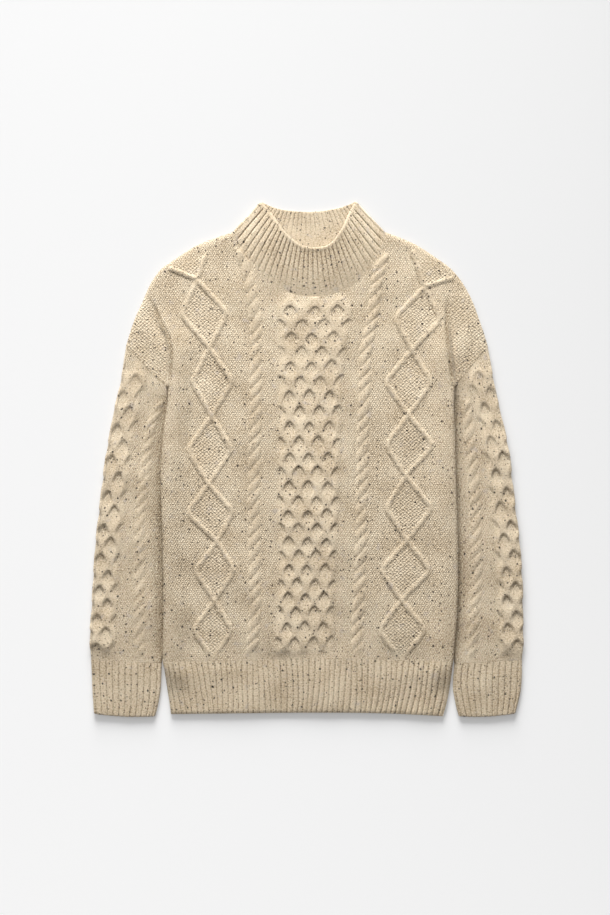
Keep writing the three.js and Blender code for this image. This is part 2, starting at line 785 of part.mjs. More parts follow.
function makeSleeve(side) {
  const isLeft = side === 'left';
  const seam = shifted(armhole[side], isLeft ? -2 * GAP : 2 * GAP);
  const outerFold = curve([seam[0], ...column(SLEEVE_OUTER, side).slice(1)], 13);
  const innerFold = curve([seam.at(-1), ...column(SLEEVE_INNER, side).slice(1)], 13);
  const wrist = curve([outerFold.at(-1), mix(outerFold.at(-1), innerFold.at(-1), 0.5), innerFold.at(-1)], 9);
  // Folds run from the wrist up, and end lines from left to right
  const up = (path) => path.slice().reverse();
  const folds = isLeft
    ? { left: up(outerFold), right: up(innerFold) }
    : { left: up(innerFold), right: up(outerFold) };
  const lines = isLeft
    ? { start: wrist, end: seam }
    : { start: up(wrist), end: up(seam) };
  const loop = [...lines.start, ...folds.right.slice(1), ...up(lines.end).slice(1), ...up(folds.left).slice(1, -1)];
  const rows = usable(foldRows(folds, [EDGE_ROW]), loop, EDGE_ROW * 0.8);
  const clear = (p) => Math.abs(p.x) > Math.abs(valueAt(SIDE, side, p.y)) + 5;
  const pattern = usable(sleevePattern(side), loop, 4.5).filter(clear);
  const points = [...rows, ...pattern, ...usable(fillers(SLEEVE_FILL, pattern), loop, SLEEVE_FILL.margin)];
  const flat = usable(foldRows(folds, [EDGE_ROUND]), loop, EDGE_ROUND * 0.9);
  const plain = { ...lines, points: flat };
  return tube(`sleeve_${side}`, folds, { ...lines, points }, plain, tubeHeights(folds, (p) => p.h ?? 0));
}

// A ribbed tube between two lines, ribs on its upper side
function makeCuff(side) {
  const isLeft = side === 'left';
  const place = (table, last) => ({ x: table.at(last)[side], y: table.at(last).y - (last === 0 ? GAP * 2 : 0) });
  const outerFold = curve([place(CUFF_OUTER, 0), ...column(CUFF_OUTER, side).slice(1)], 18);
  const innerFold = curve([place(CUFF_INNER, 0), ...column(CUFF_INNER, side).slice(1)], 18);
  const across = (a, b, sag) => {
    const middle = mix(a, b, 0.5);
    return curve([a, { x: middle.x, y: middle.y - sag }, b], 0, 2 * CUFF_RIBS.count);
  };
  const wrist = across(outerFold[0], innerFold[0], 0);
  const opening = across(outerFold.at(-1), innerFold.at(-1), CUFF_SAG / 2);
  const up = (path) => path.slice().reverse();
  const folds = isLeft
    ? { left: up(outerFold), right: up(innerFold) }
    : { left: up(innerFold), right: up(outerFold) };
  const depth = CUFF_RIBS.depth;
  const lines = isLeft ? { start: opening, end: wrist } : { start: up(opening), end: up(wrist) };
  const start = ribLine(lines.start, depth * 0.6);
  const end = ribLine(lines.end, depth * 0.6);
  const ribs = between(start, end, [0.2, 0.5, 0.8])
    .flatMap((line) => line.slice(1, -1).map((p, i) => ({ ...p, h: ribWave(i + 1, depth) })));
  const loop = [...start, ...folds.right.slice(1), ...up(end).slice(1), ...up(folds.left).slice(1, -1)];
  const flat = usable(foldRows(folds, [EDGE_ROUND]), loop, EDGE_ROUND * 0.9);
  const points = usable(ribs, loop, 1.5);
  return tube(`cuff_${side}`, folds, { start, end, points }, { ...lines, points: flat },
    tubeHeights(folds, (p) => p.h ?? 0));
}

function makeCollar() {
  const { count, depth, lift, inside: insideCount, insideDepth } = COLLAR_RIBS;
  const bottom = shifted(curve(NECK_SEAM, 0, 2 * count), GAP);
  const top = curve(COLLAR_FRONT_TOP, 0, 2 * count);
  const backBottom = shifted(curve(BACK_NECK, 0, 2 * insideCount), GAP);
  const backTop = curve(COLLAR_BACK_TOP, 0, 2 * insideCount);
  backBottom[0] = bottom[0];
  backBottom[backBottom.length - 1] = bottom.at(-1);
  const foldLine = (a, b) => curve([a, mix(a, b, 0.5), b], 12);
  const folds = { left: foldLine(bottom[0], top[0]), right: foldLine(bottom.at(-1), top.at(-1)) };
  const start = ribLine(bottom, depth * 0.5);
  const end = ribLine(top, depth);
  const frontRibs = between(start, end, [0.25, 0.5, 0.75])
    .flatMap((line) => line.slice(2, -2).map((p, i) => ({ ...p, h: ribWave(i + 2, depth) })));
  const backStart = backBottom.map((p) => ({ ...p, h: 0 }));
  const backEnd = ribLine(backTop, insideDepth);
  const backRibs = between(backStart, backEnd, [0.35, 0.7])
    .flatMap((line) => line.slice(2, -2).map((p, i) => ({ ...p, h: ribWave(i + 2, insideDepth) })));
  const frontLoop = [...start, ...folds.right.slice(1), ...end.slice().reverse().slice(1),
    ...folds.left.slice().reverse().slice(1, -1)];
  const backLoop = [...backStart, ...folds.right.slice(1), ...backEnd.slice().reverse().slice(1),
    ...folds.left.slice().reverse().slice(1, -1)];
  const openness = (p) => {
    const low = distanceToPath(p, bottom);
    const high = distanceToPath(p, top);
    const away = Math.min(distanceToPath(p, folds.left), distanceToPath(p, folds.right));
    return lift * (low / (low + high)) * smooth(8, 40, away);
  };
  const heights = tubeHeights(folds, (p) => p.h ?? 0);
  const upperOuter = (p) => heights.upperOuter(p) + openness(p);
  const upperInner = (p) => heights.upperInner(p) + openness(p);
  const lowerInner = (p) => heights.lowerInner(p) - insideDepth + (p.h ?? 0);
  const flat = [...usable(foldRows(folds, [EDGE_ROUND]), backLoop, EDGE_ROUND * 0.8)];
  const middle = usable(between(start, end, [0.5])[0].filter((_, i) => i % 6 === 3)
    .map((p) => ({ x: p.x, y: p.y })), frontLoop, 12);
  return tube('collar', folds,
    { start, end, points: usable(frontRibs, frontLoop, 1.2), innerPoints: middle },
    { start: backStart, end: backEnd, points: flat, innerPoints: usable(backRibs, backLoop, 4) },
    { ...heights, upperOuter, upperInner, lowerInner });
}

const sweater = new THREE.Group();
sweater.add(
  makeFront(),
  makeBack(),
  makeHem('hem_front', true),
  makeHem('hem_back', false),
  makeCollar(),
  ...SIDES.map(makeSleeve),
  ...SIDES.map(makeCuff),
);

export default sweater;
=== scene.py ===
# %% [markdown]
# # A cable knit sweater, laid flat
# The real thing is a thick wool pullover knitted in panels: a front and a back with
# cables, two sleeves, and ribbed cuffs, hem and neck. This script dresses the plain
# frame of it as knitted cloth. Every piece is a thin closed shell, because cloth has two
# faces and an edge, and each is made from rows of points: a sheet of cloth is easier to
# compute than to push and pull by hand.

# %% Load the frame
import math

import bpy
import numpy as np
from mathutils.geometry import delaunay_2d_cdt
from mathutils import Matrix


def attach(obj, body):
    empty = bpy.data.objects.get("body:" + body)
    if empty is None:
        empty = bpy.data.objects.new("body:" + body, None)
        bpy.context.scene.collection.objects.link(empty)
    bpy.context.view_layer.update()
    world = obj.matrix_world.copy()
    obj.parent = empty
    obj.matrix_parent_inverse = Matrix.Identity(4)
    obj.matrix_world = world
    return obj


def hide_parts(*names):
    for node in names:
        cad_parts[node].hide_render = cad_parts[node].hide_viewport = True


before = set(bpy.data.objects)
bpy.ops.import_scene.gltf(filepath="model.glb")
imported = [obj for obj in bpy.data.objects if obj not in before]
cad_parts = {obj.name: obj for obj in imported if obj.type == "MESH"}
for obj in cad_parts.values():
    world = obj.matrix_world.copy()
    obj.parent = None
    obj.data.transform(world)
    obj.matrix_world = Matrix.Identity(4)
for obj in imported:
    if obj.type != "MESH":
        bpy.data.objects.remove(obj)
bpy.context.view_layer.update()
print("frame nodes:", sorted(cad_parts))

# %% [markdown]
# ## The sizes of the cloth
# The tables below are a schematic such as a pattern cutter draws, in millimetres measured
# in the photograph: a row for each height, with the left and the right edge. One factor
# turns them to metres when a mesh is made.

# %% Sizes and outlines, in millimetres
MM = 0.001
WALL = 3.0
GAP = 0.3
STACK = 2 * WALL + GAP
MIDDLE = STACK / 2
SEAM_GAP = 0.04

SHOULDER = np.array([  # y, left, right
    (318, -104, 111),
    (310, -128, 132),
    (299, -155, 156),
    (275, -192, 192),
    (264, -206, 205),
    (245, -219, 220),
    (220, -230, 233),
    (198, -240, 241),
    (178, -247, 248),
    (158, -253, 254),
], float)
ARMHOLE = np.array([(158, -253, 254), (139, -233, 238), (119, -216, 222), (101, -193, 207)], float)
SIDE = np.array([  # y, left, right
    (101, -193, 207),
    (73, -195, 206),
    (49, -199, 207),
    (10, -202, 208),
    (-29, -204, 209),
    (-89, -202, 211),
    (-141, -201, 212),
    (-205, -200, 211),
    (-259, -201, 207),
    (-283, -201, 205),
], float)
HEM_SIDE = np.array([  # y, left, right
    (-283, -201, 205),
    (-300, -198, 203),
    (-322, -195, 200),
    (-340, -192, 196),
    (-357, -190, 191),
], float)
# Where the body's side steps down to the sleeve
FOLD = np.vstack([
    np.array([
        (227, -222, 199), (206, -211, 198), (189, -204, 197),
        (174, -195, 198), (153, -190, 200), (120, -191, 204),
    ], float),
    SIDE,
    HEM_SIDE[1:],
])
SLEEVE_OUTER = np.array([  # y, left, right
    (158, -253, 254),
    (108, -260, 262),
    (63, -270, 272),
    (19, -278, 281),
    (-32, -285, 288),
    (-77, -290, 293),
    (-121, -295, 298),
    (-166, -298, 301),
    (-205, -300, 302),
    (-245, -302, 303),
    (-281, -302, 302),
], float)
SLEEVE_INNER = np.array([  # y, left, right
    (100, -195, 209),
    (88, -193, 205),
    (60, -190, 200),
    (10, -193, 199),
    (-50, -194, 201),
    (-120, -193, 203),
    (-190, -192, 202),
    (-240, -194, 201),
    (-286, -203, 207),
], float)
CUFF_OUTER = np.array([(-282, -302, 302), (-300, -301, 302), (-326, -300, 300), (-355, -298, 293)], float)
CUFF_INNER = np.array([
    (-287, -203, 207),
    (-317, -204, 205),
    (-333, -206, 207),
    (-348, -209, 210),
    (-359, -212, 213),
], float)
NECK_SEAM = np.array([  # x, y
    (-104, 318), (-96, 299), (-76, 271), (-54, 250), (-23, 233), (8, 228),
    (38, 232), (64, 244), (86, 264), (103, 289), (111, 318),
], float)
BACK_NECK = np.array([(-104, 318), (-62, 298), (3, 284), (66, 298), (111, 318)], float)
COLLAR_FRONT_TOP = np.array([
    (-66, 360), (-50, 342), (-29, 315), (-8, 299), (12, 295), (33, 300), (49, 319), (62, 345), (71, 360),
], float)
COLLAR_BACK_TOP = np.array([(-66, 360), (-40, 350), (2, 346), (45, 351), (71, 360)], float)
HEM_TOP = np.array([(-201, -283), (-83, -282), (0, -278), (88, -280), (205, -283)], float)
HEM_BOTTOM = np.array([(-190, -357), (0, -355), (110, -356), (191, -360)], float)
COLUMN = {"left": 1, "right": 2}

# %% [markdown]
# ## Small tools for cloth
# A curve through a few points gives an even edge. Distances to a path give rounded
# edges, seams and raised strands.

# %% Curves, distances and soft steps
def at(table, side, y):
    """A table's edge at a height."""
    return np.interp(-np.asarray(y, float), -table[:, 0], table[:, COLUMN[side]])


def edge_points(table, side):
    """An edge as points (x, y), from the top row down."""
    return np.column_stack([table[:, COLUMN[side]], table[:, 0]])


def curve(points, step=2.5, count=None):
    """Evenly spaced points on a smooth curve through the given ones."""
    padded = np.vstack([points[:1], points, points[-1:]])
    t = np.linspace(0, 1, 24, endpoint=False)[:, None]
    pieces = []
    for a, b, c, d in zip(padded, padded[1:], padded[2:], padded[3:]):
        pieces.append(0.5 * (2 * b + (c - a) * t + (2 * a - 5 * b + 4 * c - d) * t ** 2
                             + (3 * b - a - 3 * c + d) * t ** 3))
    dense = np.vstack(pieces + [points[-1:]])
    length = np.r_[0, np.cumsum(np.hypot(*np.diff(dense, axis=0).T))]
    parts = count or max(2, round(length[-1] / step))
    even = np.linspace(0, length[-1], parts + 1)
    return np.column_stack([np.interp(even, length, dense[:, 0]), np.interp(even, length, dense[:, 1])])


def nearest(x, y, path):
    """Each point's distance to a path and the number of the path's nearest part."""
    a, b = path[:-1], path[1:]
    along = b - a
    size = np.maximum((along ** 2).sum(axis=1), 1e-9)
    away = np.empty(len(x))
    part = np.empty(len(x), int)
    block = 4000
    for start in range(0, len(x), block):
        px = x[start:start + block, None] - a[:, 0]
        py = y[start:start + block, None] - a[:, 1]
        t = np.clip((px * along[:, 0] + py * along[:, 1]) / size, 0, 1)
        gap = np.hypot(px - t * along[:, 0], py - t * along[:, 1])
        part[start:start + block] = gap.argmin(axis=1)
        away[start:start + block] = gap.min(axis=1)
    return away, part


def distance(x, y, path):
    """Each point's distance to a path."""
    return nearest(x, y, path)[0]


def inside(x, y, loop):
    """True for points inside a closed loop."""
    odd = np.zeros(len(x), bool)
    for a, b in zip(loop, np.roll(loop, -1, axis=0)):
        if a[1] == b[1]:
            continue
        crosses = (a[1] > y) != (b[1] > y)
        odd ^= crosses & (x < (b[0] - a[0]) * (y - a[1]) / (b[1] - a[1]) + a[0])
    return odd


def step(low, high, value):
    """0 below low, 1 above high, and a soft S between."""
    t = np.clip((value - low) / (high - low), 0, 1)
    return t * t * (3 - 2 * t)


def round_drop(away, drop, radius):
    """How far a rounded edge has dropped, at a distance from it."""
    t = 1 - np.minimum(1, away / radius)
    return drop * (1 - np.sqrt(1 - t * t))


def waves(x, y, size, seed):
    """Soft uneven ground, about -1 to 1, from a few crossing waves."""
    random = np.random.default_rng(seed)
    total = np.zeros_like(x)
    for _ in range(7):
        angle, phase = random.uniform(0, 2 * math.pi, 2)
        length = size * random.uniform(0.7, 1.6)
        total += np.sin((x * math.cos(angle) + y * math.sin(angle)) * 2 * math.pi / length + phase)
    return total / 3.5


# %% [markdown]
# ## The body's rise over the sleeves
# The body's sides lie on the inner edges of the sleeves, so both layers of the body climb
# over them there, and step down again at the shoulder where the sleeve is sewn on.

# %% Rise of the body's sides
SIDE_RISE = STACK + 0.6
RISE_FLAT = 12
RISE_END = 40
RISE_OUTER = 6
RISE_TOP = (150, 225)
RISE_BOTTOM = (-332, -286)


def rise(x, y):
    depth = np.where(x < 0, np.abs(at(FOLD, "left", y)), np.abs(at(FOLD, "right", y))) - np.abs(x)
    within = np.where(depth < 0, 1 - step(0, RISE_OUTER, -depth), 1 - step(RISE_FLAT, RISE_END, depth))
    along = (1 - step(*RISE_TOP, y)) * step(*RISE_BOTTOM, y)
    return SIDE_RISE * within * along


# %% [markdown]
# ## The knit pattern
# Aran cables are ropes of stitches that travel over a purl ground. Each is a height
# over the plain cloth: round ropes that cross in a honeycomb, ropes twisted in two
# plies, and thin strands that part and meet in diamonds.

# %% Honeycomb lattice
HOLE = 0.69
HOLE_ROUNDNESS = 1.5
CELL_UNEVENNESS = 0.16
# A cell's floor, as shares of the ropes' height: under the crossing above, and lower down
FLOOR_UPPER, FLOOR_CHANCE, FLOOR_LOWER = 0.28, 0.3, 0.72
# Where a cell's side rises to its ropes, as shares of the way out from its middle
BANK_UPPER, BANK_SPREAD, BANK_END = 0.84, 0.4, 1.04
# Painted shade: where the dark line along a cell's upper side lies, and its half width, as shares of the
# way out
CREASE_AT, CREASE_HALF = 0.85, 0.13


def lattice(across, down, height):
    """Height and shade of ropes that cross round cells: across in half cells, down in rows.

    A cell's floor lies deepest under the crossing above it, and each cell is a little different."""
    cell_p, cell_q = np.round((across + down) / 2), np.round((across - down) / 2)
    chance = [
        np.modf(np.abs(np.sin(cell_p * a + cell_q * b) * 437.58))[0] - 0.5
        for a, b in ((12.99, 78.23), (39.35, 11.14), (73.16, 52.24))
    ]
    aside = across - (cell_p + cell_q) + CELL_UNEVENNESS * chance[0]
    below = down - (cell_p - cell_q) + CELL_UNEVENNESS * chance[1]
    out = (np.abs(aside) ** HOLE_ROUNDNESS + np.abs(below) ** HOLE_ROUNDNESS) ** (1 / HOLE_ROUNDNESS)
    out = out / (HOLE + CELL_UNEVENNESS * chance[2] * 0.7)
    lower = step(-0.4, 0.5, below)
    deepest = FLOOR_UPPER + FLOOR_CHANCE * chance[2]
    floor = height * (deepest + (FLOOR_LOWER - deepest) * lower)
    bank = step(BANK_UPPER - BANK_SPREAD * lower, BANK_END, out)
    strength = (0.7 + 0.9 * chance[1]) * (0.85 + 0.5 * np.sign(aside) * chance[0])
    crease = np.exp(-(((out - CREASE_AT) / CREASE_HALF) ** 2))
    shade = crease * (1 - step(-0.6, 0.1, below)) * strength
    return floor + (height - floor) * bank, shade


# %% Rope cable
PLY_SLANT = 0.52
PLY_GROOVE = 0.075


def rope(x, y, path, pitch, half_width, height):
    """Height and groove shade of a two-ply rope down a path: plump slanting plies, one after another."""
    top, bottom = path[:, 1].max(), path[:, 1].min()
    order = np.argsort(path[:, 1])
    sideways = (x - np.interp(y, path[order, 1], path[order, 0])) / half_width
    turn = (top - y) / pitch + PLY_SLANT * sideways + 0.07 * np.sin(0.09 * y + top)
    to_groove = np.abs(turn - np.round(turn))
    plump = np.sin(math.pi * to_groove) ** 0.6
    band = np.maximum(0, 1 - (sideways / (0.68 + 0.32 * plump)) ** 2)
    ends = step(bottom - 4, bottom + 6, y) * (1 - step(top - 6, top + 4, y))
    uneven = 0.75 + 0.25 * np.sin(2.4 * np.round(turn) + top)
    groove = np.exp(-((to_groove / PLY_GROOVE) ** 2)) * step(0.0, 0.35, band) * ends * uneven
    return height * np.sqrt(band) * (0.3 + 0.7 * plump) * ends, groove


# %% Diamonds of two travelling strands
STRAND_HALF = 3.7
STRAND_BOLD = 1.7
STRAND_SOFT = 1.25


def softened(path, window):
    """A path with its corners rounded by averaging neighbours."""
    kernel = np.ones(window) / window
    padded = np.vstack([np.repeat(path[:1], window // 2, 0), path, np.repeat(path[-1:], window // 2, 0)])
    return np.column_stack([np.convolve(padded[:, i], kernel, "valid") for i in range(2)])


def straight(points, spacing=2.0):
    """Even points along straight lines between the given ones."""
    points = np.asarray(points, float)
    length = np.r_[0, np.cumsum(np.hypot(*np.diff(points, axis=0).T))]
    even = np.linspace(0, length[-1], max(2, round(length[-1] / spacing)))
    return np.column_stack([np.interp(even, length, points[:, 0]), np.interp(even, length, points[:, 1])])


def diamond_strands(rows):
    """Two strands down a column of diamonds: each passes to the other side at a crossing."""
    strands = []
    for first in (0, 1):
        points = []
        for i, (y, x, wide_left, wide_right) in enumerate(rows):
            points.append((x, y))
            if i + 1 < len(rows):
                middle = (y + rows[i + 1][0]) / 2
                wide = (wide_left, wide_right)[(i + first) % 2]
                points += [(wide, middle + 4), (wide, middle - 4)]
        strands.append(softened(straight(points), 7))
    return strands


def strand(x, y, path):
    """Height of a travelling strand and the shade at its lower foot.

    It stands out most where it leans to the right on its way down, and there it passes on top."""
    step_x, step_y = np.diff(path, axis=0).T
    lean = np.clip(np.sign(step_x * -step_y), -1, 1)
    lean = np.convolve(np.pad(lean, 3, "edge"), np.ones(7) / 7, "valid")
    crest = STRAND_SOFT + (STRAND_BOLD - STRAND_SOFT) * (0.5 + 0.5 * lean)
    away, part = nearest(x, y, path)
    away = away + 0.5 * np.sin(y * 0.55 + path[0, 0]) * np.sin(y * 0.17)
    below = np.where(lean[part] > 0, x < path[part, 0], x > path[part, 0])
    foot = (0.65 + 0.35 * lean[part]) * below * (0.6 + 0.4 * np.sin(y * 0.09 + path[0, 0]))
    foot = foot * np.exp(-(((away - STRAND_HALF - 0.4) / 1.3) ** 2))
    return crest[part] * np.maximum(0, 1 - (away / STRAND_HALF) ** 2) ** 0.7, foot


# %% The front's pattern in numbers
def beyond_fold(x, y):
    """How far a point lies outside the fold that runs up to each shoulder."""
    return np.abs(x) - np.where(x < 0, np.abs(at(FOLD, "left", y)), at(FOLD, "right", y))


LATTICE_ROWS = np.array([  # row of cells, its height y, the row's middle x, half a cell's width
    (-2, 244, 11.5, 17),
    (0, 203.5, 10.6, 16.5),
    (2, 165.5, 7.9, 15.2),
    (5, 103.5, 4.6, 14),
    (10, -4.5, 2.8, 13.4),
    (13, -64.5, 1.8, 13.3),
    (17, -141.5, 1.2, 12.4),
    (20, -200, -1, 12.3),
    (24, -282, -3.8, 13.1),
    (26, -323, -5, 13.4),
], float)
LATTICE_EDGE = (2.8, 3.5)
LATTICE_REACH = 3.6
LATTICE_TOP = 235
# The lattice is flatter at the top: height in millimetres and strength of the shade, as
# the value there and what is added lower down
LATTICE_HEIGHT, LATTICE_DEEPENS = 1.9, 0.8
LATTICE_SHADE, SHADE_DEEPENS = 0.33, 0.5
FRONT_ROPES = [
    np.array([(-95, 296), (-80, 251), (-71, 195), (-71, 119), (-74, -57), (-72, -215), (-78, -282)], float),
    np.array([(108, 288), (99, 251), (94, 209), (82, 145), (79, 27), (76, -117), (70, -282)], float),
]
ROPE_PITCH = 19.0
ROPE_HALF = 8.6
ROPE_HEIGHT = 1.8
ROPE_SHADE = 0.45
STRAND_SHADE = 0.75
MOSS_HEIGHT = 0.4
YOKE_BOTTOM, YOKE_TOP = 95, 232
ABOVE_HEM = 22
DIAMOND_COLUMNS = [
    [  # y and x of a crossing, then the widest x on each side below it
        (251, -153, -173, -113), (156, -136, -158, -106), (61, -133, -164, -107), (-35, -137, -164, -105),
        (-115, -125, -153, -103), (-198, -129, -156, -107), (-280, -131, -156, -107),
    ],
    [
        (241, 165, 126, 186), (153, 148, 113, 173), (62, 143, 114, 175), (-23, 139, 114, 173),
        (-114, 141, 107, 171), (-197, 133, 104, 164), (-282, 132, 104, 164),
    ],
]
HALF_DIAMONDS = [
    [(-192, 268), (-153, 251), (-141, 286)],
    [(205, 254), (165, 241), (149, 292)],
]


def over_plain_knit(x, y):
    """The front's pattern: its height, and marks from 0 to 1 for stitch kinds and for painted shade in its
    hollows.
    """
    height, smooth_knit, moss, hollow = (np.zeros_like(x) for _ in range(4))

    row_order = LATTICE_ROWS[::-1]
    down = np.interp(y, row_order[:, 1], row_order[:, 0])
    half_cell = np.interp(y, row_order[:, 1], row_order[:, 3])
    across = (x - np.interp(y, row_order[:, 1], row_order[:, 2])) / half_cell
    near = (np.abs(across) < LATTICE_REACH) & (y < LATTICE_TOP)
    fade = (1 - step(*LATTICE_EDGE, np.abs(across[near]))) * step(-1.5, -0.9, down[near])
    deeper = step(0, 9, down[near])
    ropes, shade = lattice(across[near], down[near], LATTICE_HEIGHT + LATTICE_DEEPENS * deeper)
    height[near] = ropes * fade
    hollow[near] = shade * fade * (LATTICE_SHADE + SHADE_DEEPENS * deeper)
    smooth_knit[near] = step(0.9, 1.6, height[near])

    for path in FRONT_ROPES:
        close = np.abs(x - np.interp(y, path[::-1, 1], path[::-1, 0])) < 18
        cable, shade = rope(x[close], y[close], path, ROPE_PITCH, ROPE_HALF, ROPE_HEIGHT)
        height[close] = np.maximum(height[close], cable)
        hollow[close] = np.maximum(hollow[close], ROPE_SHADE * shade)
        smooth_knit[close] = np.maximum(smooth_knit[close], step(0.3, 0.8, cable))

    for rows, half in zip(DIAMOND_COLUMNS, HALF_DIAMONDS):
        paths = diamond_strands(rows)
        low, high = min(r[2] for r in rows) - 10, max(r[3] for r in rows) + 10
        near = (x > low) & (x < high) & (y < rows[0][0] + 12)
        both = [strand(x[near], y[near], path) for path in paths]
        ridge = np.maximum(both[0][0], both[1][0])
        height[near] = np.maximum(height[near], ridge + 0.4 * np.minimum(both[0][0], both[1][0]))
        foot = STRAND_SHADE * np.maximum(both[0][1], both[1][1]) * (ridge < 0.5)
        hollow[near] = np.maximum(hollow[near], foot)
        smooth_knit[near] = np.maximum(smooth_knit[near], step(0.5, 1.1, ridge))
        edges = [np.interp(y[near], path[::-1, 1], path[::-1, 0]) for path in paths]
        within = np.minimum(x[near] - np.minimum(*edges), np.maximum(*edges) - x[near])
        moss[near] = np.maximum(moss[near], step(1.5, 4, within))
        ridge, foot = strand(x, y, softened(straight(half), 7))
        height = np.maximum(height, ridge)
        hollow = np.maximum(hollow, STRAND_SHADE * foot * (ridge < 0.5))
        smooth_knit = np.maximum(smooth_knit, step(0.5, 1.1, ridge))
        moss[inside(x, y, np.array(half, float))] = 1

    moss = np.maximum(moss, (y > YOKE_BOTTOM) * (y < YOKE_TOP) * step(1, 5, beyond_fold(x, y)))
    above_hem = step(0, ABOVE_HEM, y - np.interp(x, HEM_TOP[:, 0], HEM_TOP[:, 1]))
    height = (height + MOSS_HEIGHT * moss) * above_hem
    return height, smooth_knit, moss * (1 - smooth_knit), hollow * above_hem


# %% [markdown]
# ## From points to a closed shell
# Two kinds of shell are enough. A panel is a flat sheet with any outline: its visible
# face is filled with fine triangles, and its hidden face with coarse ones. A ring is
# a flattened tube such as a sleeve: rows of points that run round the cloth, outside
# and inside, joined at both ends.

# %% Make a mesh with its cloth coordinates
UV_STEP = 517.0


def new_piece(name, points, faces, cloth_uv, marks, seam_faces=()):
    """A mesh object from points in millimetres; cloth_uv, also in millimetres, follows the cloth.

    seam_faces are the numbers of the narrow faces at a seam. They stay flat and their edges
    sharp, or else the shading of the faces beside them would bend over the seam."""
    mesh = bpy.data.meshes.new(name)
    cloth_uv = np.asarray(cloth_uv) + UV_STEP * len(bpy.data.meshes)
    mesh.from_pydata((np.asarray(points) * MM).tolist(), [], faces)
    mesh.polygons.foreach_set("use_smooth", [i not in seam_faces for i in range(len(mesh.polygons))])
    seam_edges = {key for i in seam_faces for key in mesh.polygons[i].edge_keys}
    mesh.edges.foreach_set("use_edge_sharp", [edge.key in seam_edges for edge in mesh.edges])
    corners = np.empty(len(mesh.loops), int)
    mesh.loops.foreach_get("vertex_index", corners)
    layer = mesh.uv_layers.new(name="cloth")
    layer.data.foreach_set("uv", (cloth_uv[corners] * MM).ravel())
    for mark, values in marks.items():
        attribute = mesh.attributes.new(mark, "FLOAT", "POINT")
        attribute.data.foreach_set("value", np.asarray(values, np.float32))
    mesh.validate()
    piece = bpy.data.objects.new(name, mesh)
    bpy.context.collection.objects.link(piece)
    print(name, len(mesh.vertices), "points")
    return piece


def filled(loop, spacing, margin, fine=None):
    """Points and triangles over a loop: its own points first, then a staggered grid.

    Where fine(x, y) is False, only every second point of every second row is kept."""
    low, high = loop.min(axis=0), loop.max(axis=0)
    rows = np.arange(low[1], high[1], spacing * 0.87)
    columns = np.arange(low[0], high[0], spacing)
    column, row = np.meshgrid(np.arange(len(columns)), np.arange(len(rows)))
    x = (columns[column] + (row % 2) * spacing / 2).ravel()
    y = rows[row].ravel()
    keep = inside(x, y, loop)
    if fine is not None:
        coarse = ((row % 4 == 0) & (column % 2 == 0)) | ((row % 4 == 2) & (column % 2 == 1))
        keep &= coarse.ravel() | fine(x, y)
    x, y = x[keep], y[keep]
    keep = distance(x, y, np.vstack([loop, loop[:1]])) > margin
    points = np.vstack([loop, np.column_stack([x[keep], y[keep]])])
    _, _, faces, origins, _, _ = delaunay_2d_cdt(points.tolist(), [], [list(range(len(loop)))], 1, 1e-5)
    source = np.array([o[0] for o in origins])
    return points, [tuple(int(source[i]) for i in face) for face in faces]


def panel(name, loop, z_top, z_under, marks_at, spacing, under_spacing, fine=None):
    """A closed wall of cloth over a loop that runs counter-clockwise."""
    top, top_faces = filled(loop, spacing, spacing * 0.6, fine)
    under, under_faces = filled(loop, under_spacing, under_spacing * 0.4)
    first, n = len(top), len(loop)
    points = np.vstack([
        np.column_stack([top, z_top(*top.T)]),
        np.column_stack([under, z_under(*under.T)]),
    ])
    faces = list(top_faces)
    faces += [tuple(first + i for i in reversed(face)) for face in under_faces]
    for i in range(n):
        j = (i + 1) % n
        faces.append((i, first + i, first + j, j))
    marks = marks_at(points[:, 0], points[:, 1])
    return new_piece(name, points, faces, points[:, :2], marks, range(len(faces) - n, len(faces)))


# %% Rings round a flattened tube
TURN_POINTS = 9


def flat_ring(upper, lower, half, turn_points=TURN_POINTS):
    """Points and outward directions round one section: upper line left to right, then back below.

    The lines share their ends, where the cloth turns round in a half circle of radius half."""
    points, normals, kinds = [], [], []

    def squeezed(line):
        length = np.r_[0, np.cumsum(np.hypot(*np.diff(line, axis=0).T))]
        kept = np.linspace(half, length[-1] - half, len(line))
        return np.column_stack([np.interp(kept, length, line[:, i]) for i in range(2)])

    top, bottom = squeezed(upper), squeezed(lower)[::-1]
    angles = np.linspace(math.pi / 2, -math.pi / 2, turn_points + 2)[1:-1]
    for line, sign, next_line in ((top, 1, bottom), (bottom, -1, top)):
        points.append(np.column_stack([line, np.full(len(line), MIDDLE + sign * half)]))
        normals.append(np.column_stack([np.zeros((len(line), 2)), np.full(len(line), float(sign))]))
        kinds.append(np.full(len(line), float(sign)))
        a, b = line[-1], next_line[0]
        outward = line[-1] - line[-2]
        outward = outward / np.linalg.norm(outward)
        for k, angle in enumerate(angles):
            middle = a + (b - a) * (k + 1) / (turn_points + 1)
            place = middle + outward * half * math.cos(angle)
            points.append([[*place, MIDDLE + sign * half * math.sin(angle)]])
            normals.append([[*(outward * math.cos(angle)), sign * math.sin(angle)]])
            kinds.append([sign * math.sin(angle)])
    return np.vstack(points), np.vstack(normals), np.concatenate(kinds)


def draw_in(inner_ring, ring, middle, share):
    """Moves an inside ring from under the outside one towards a middle, by a share of the way."""
    inner_ring[:, :2] = ring[:, :2] + (middle - ring[:, :2]) * share


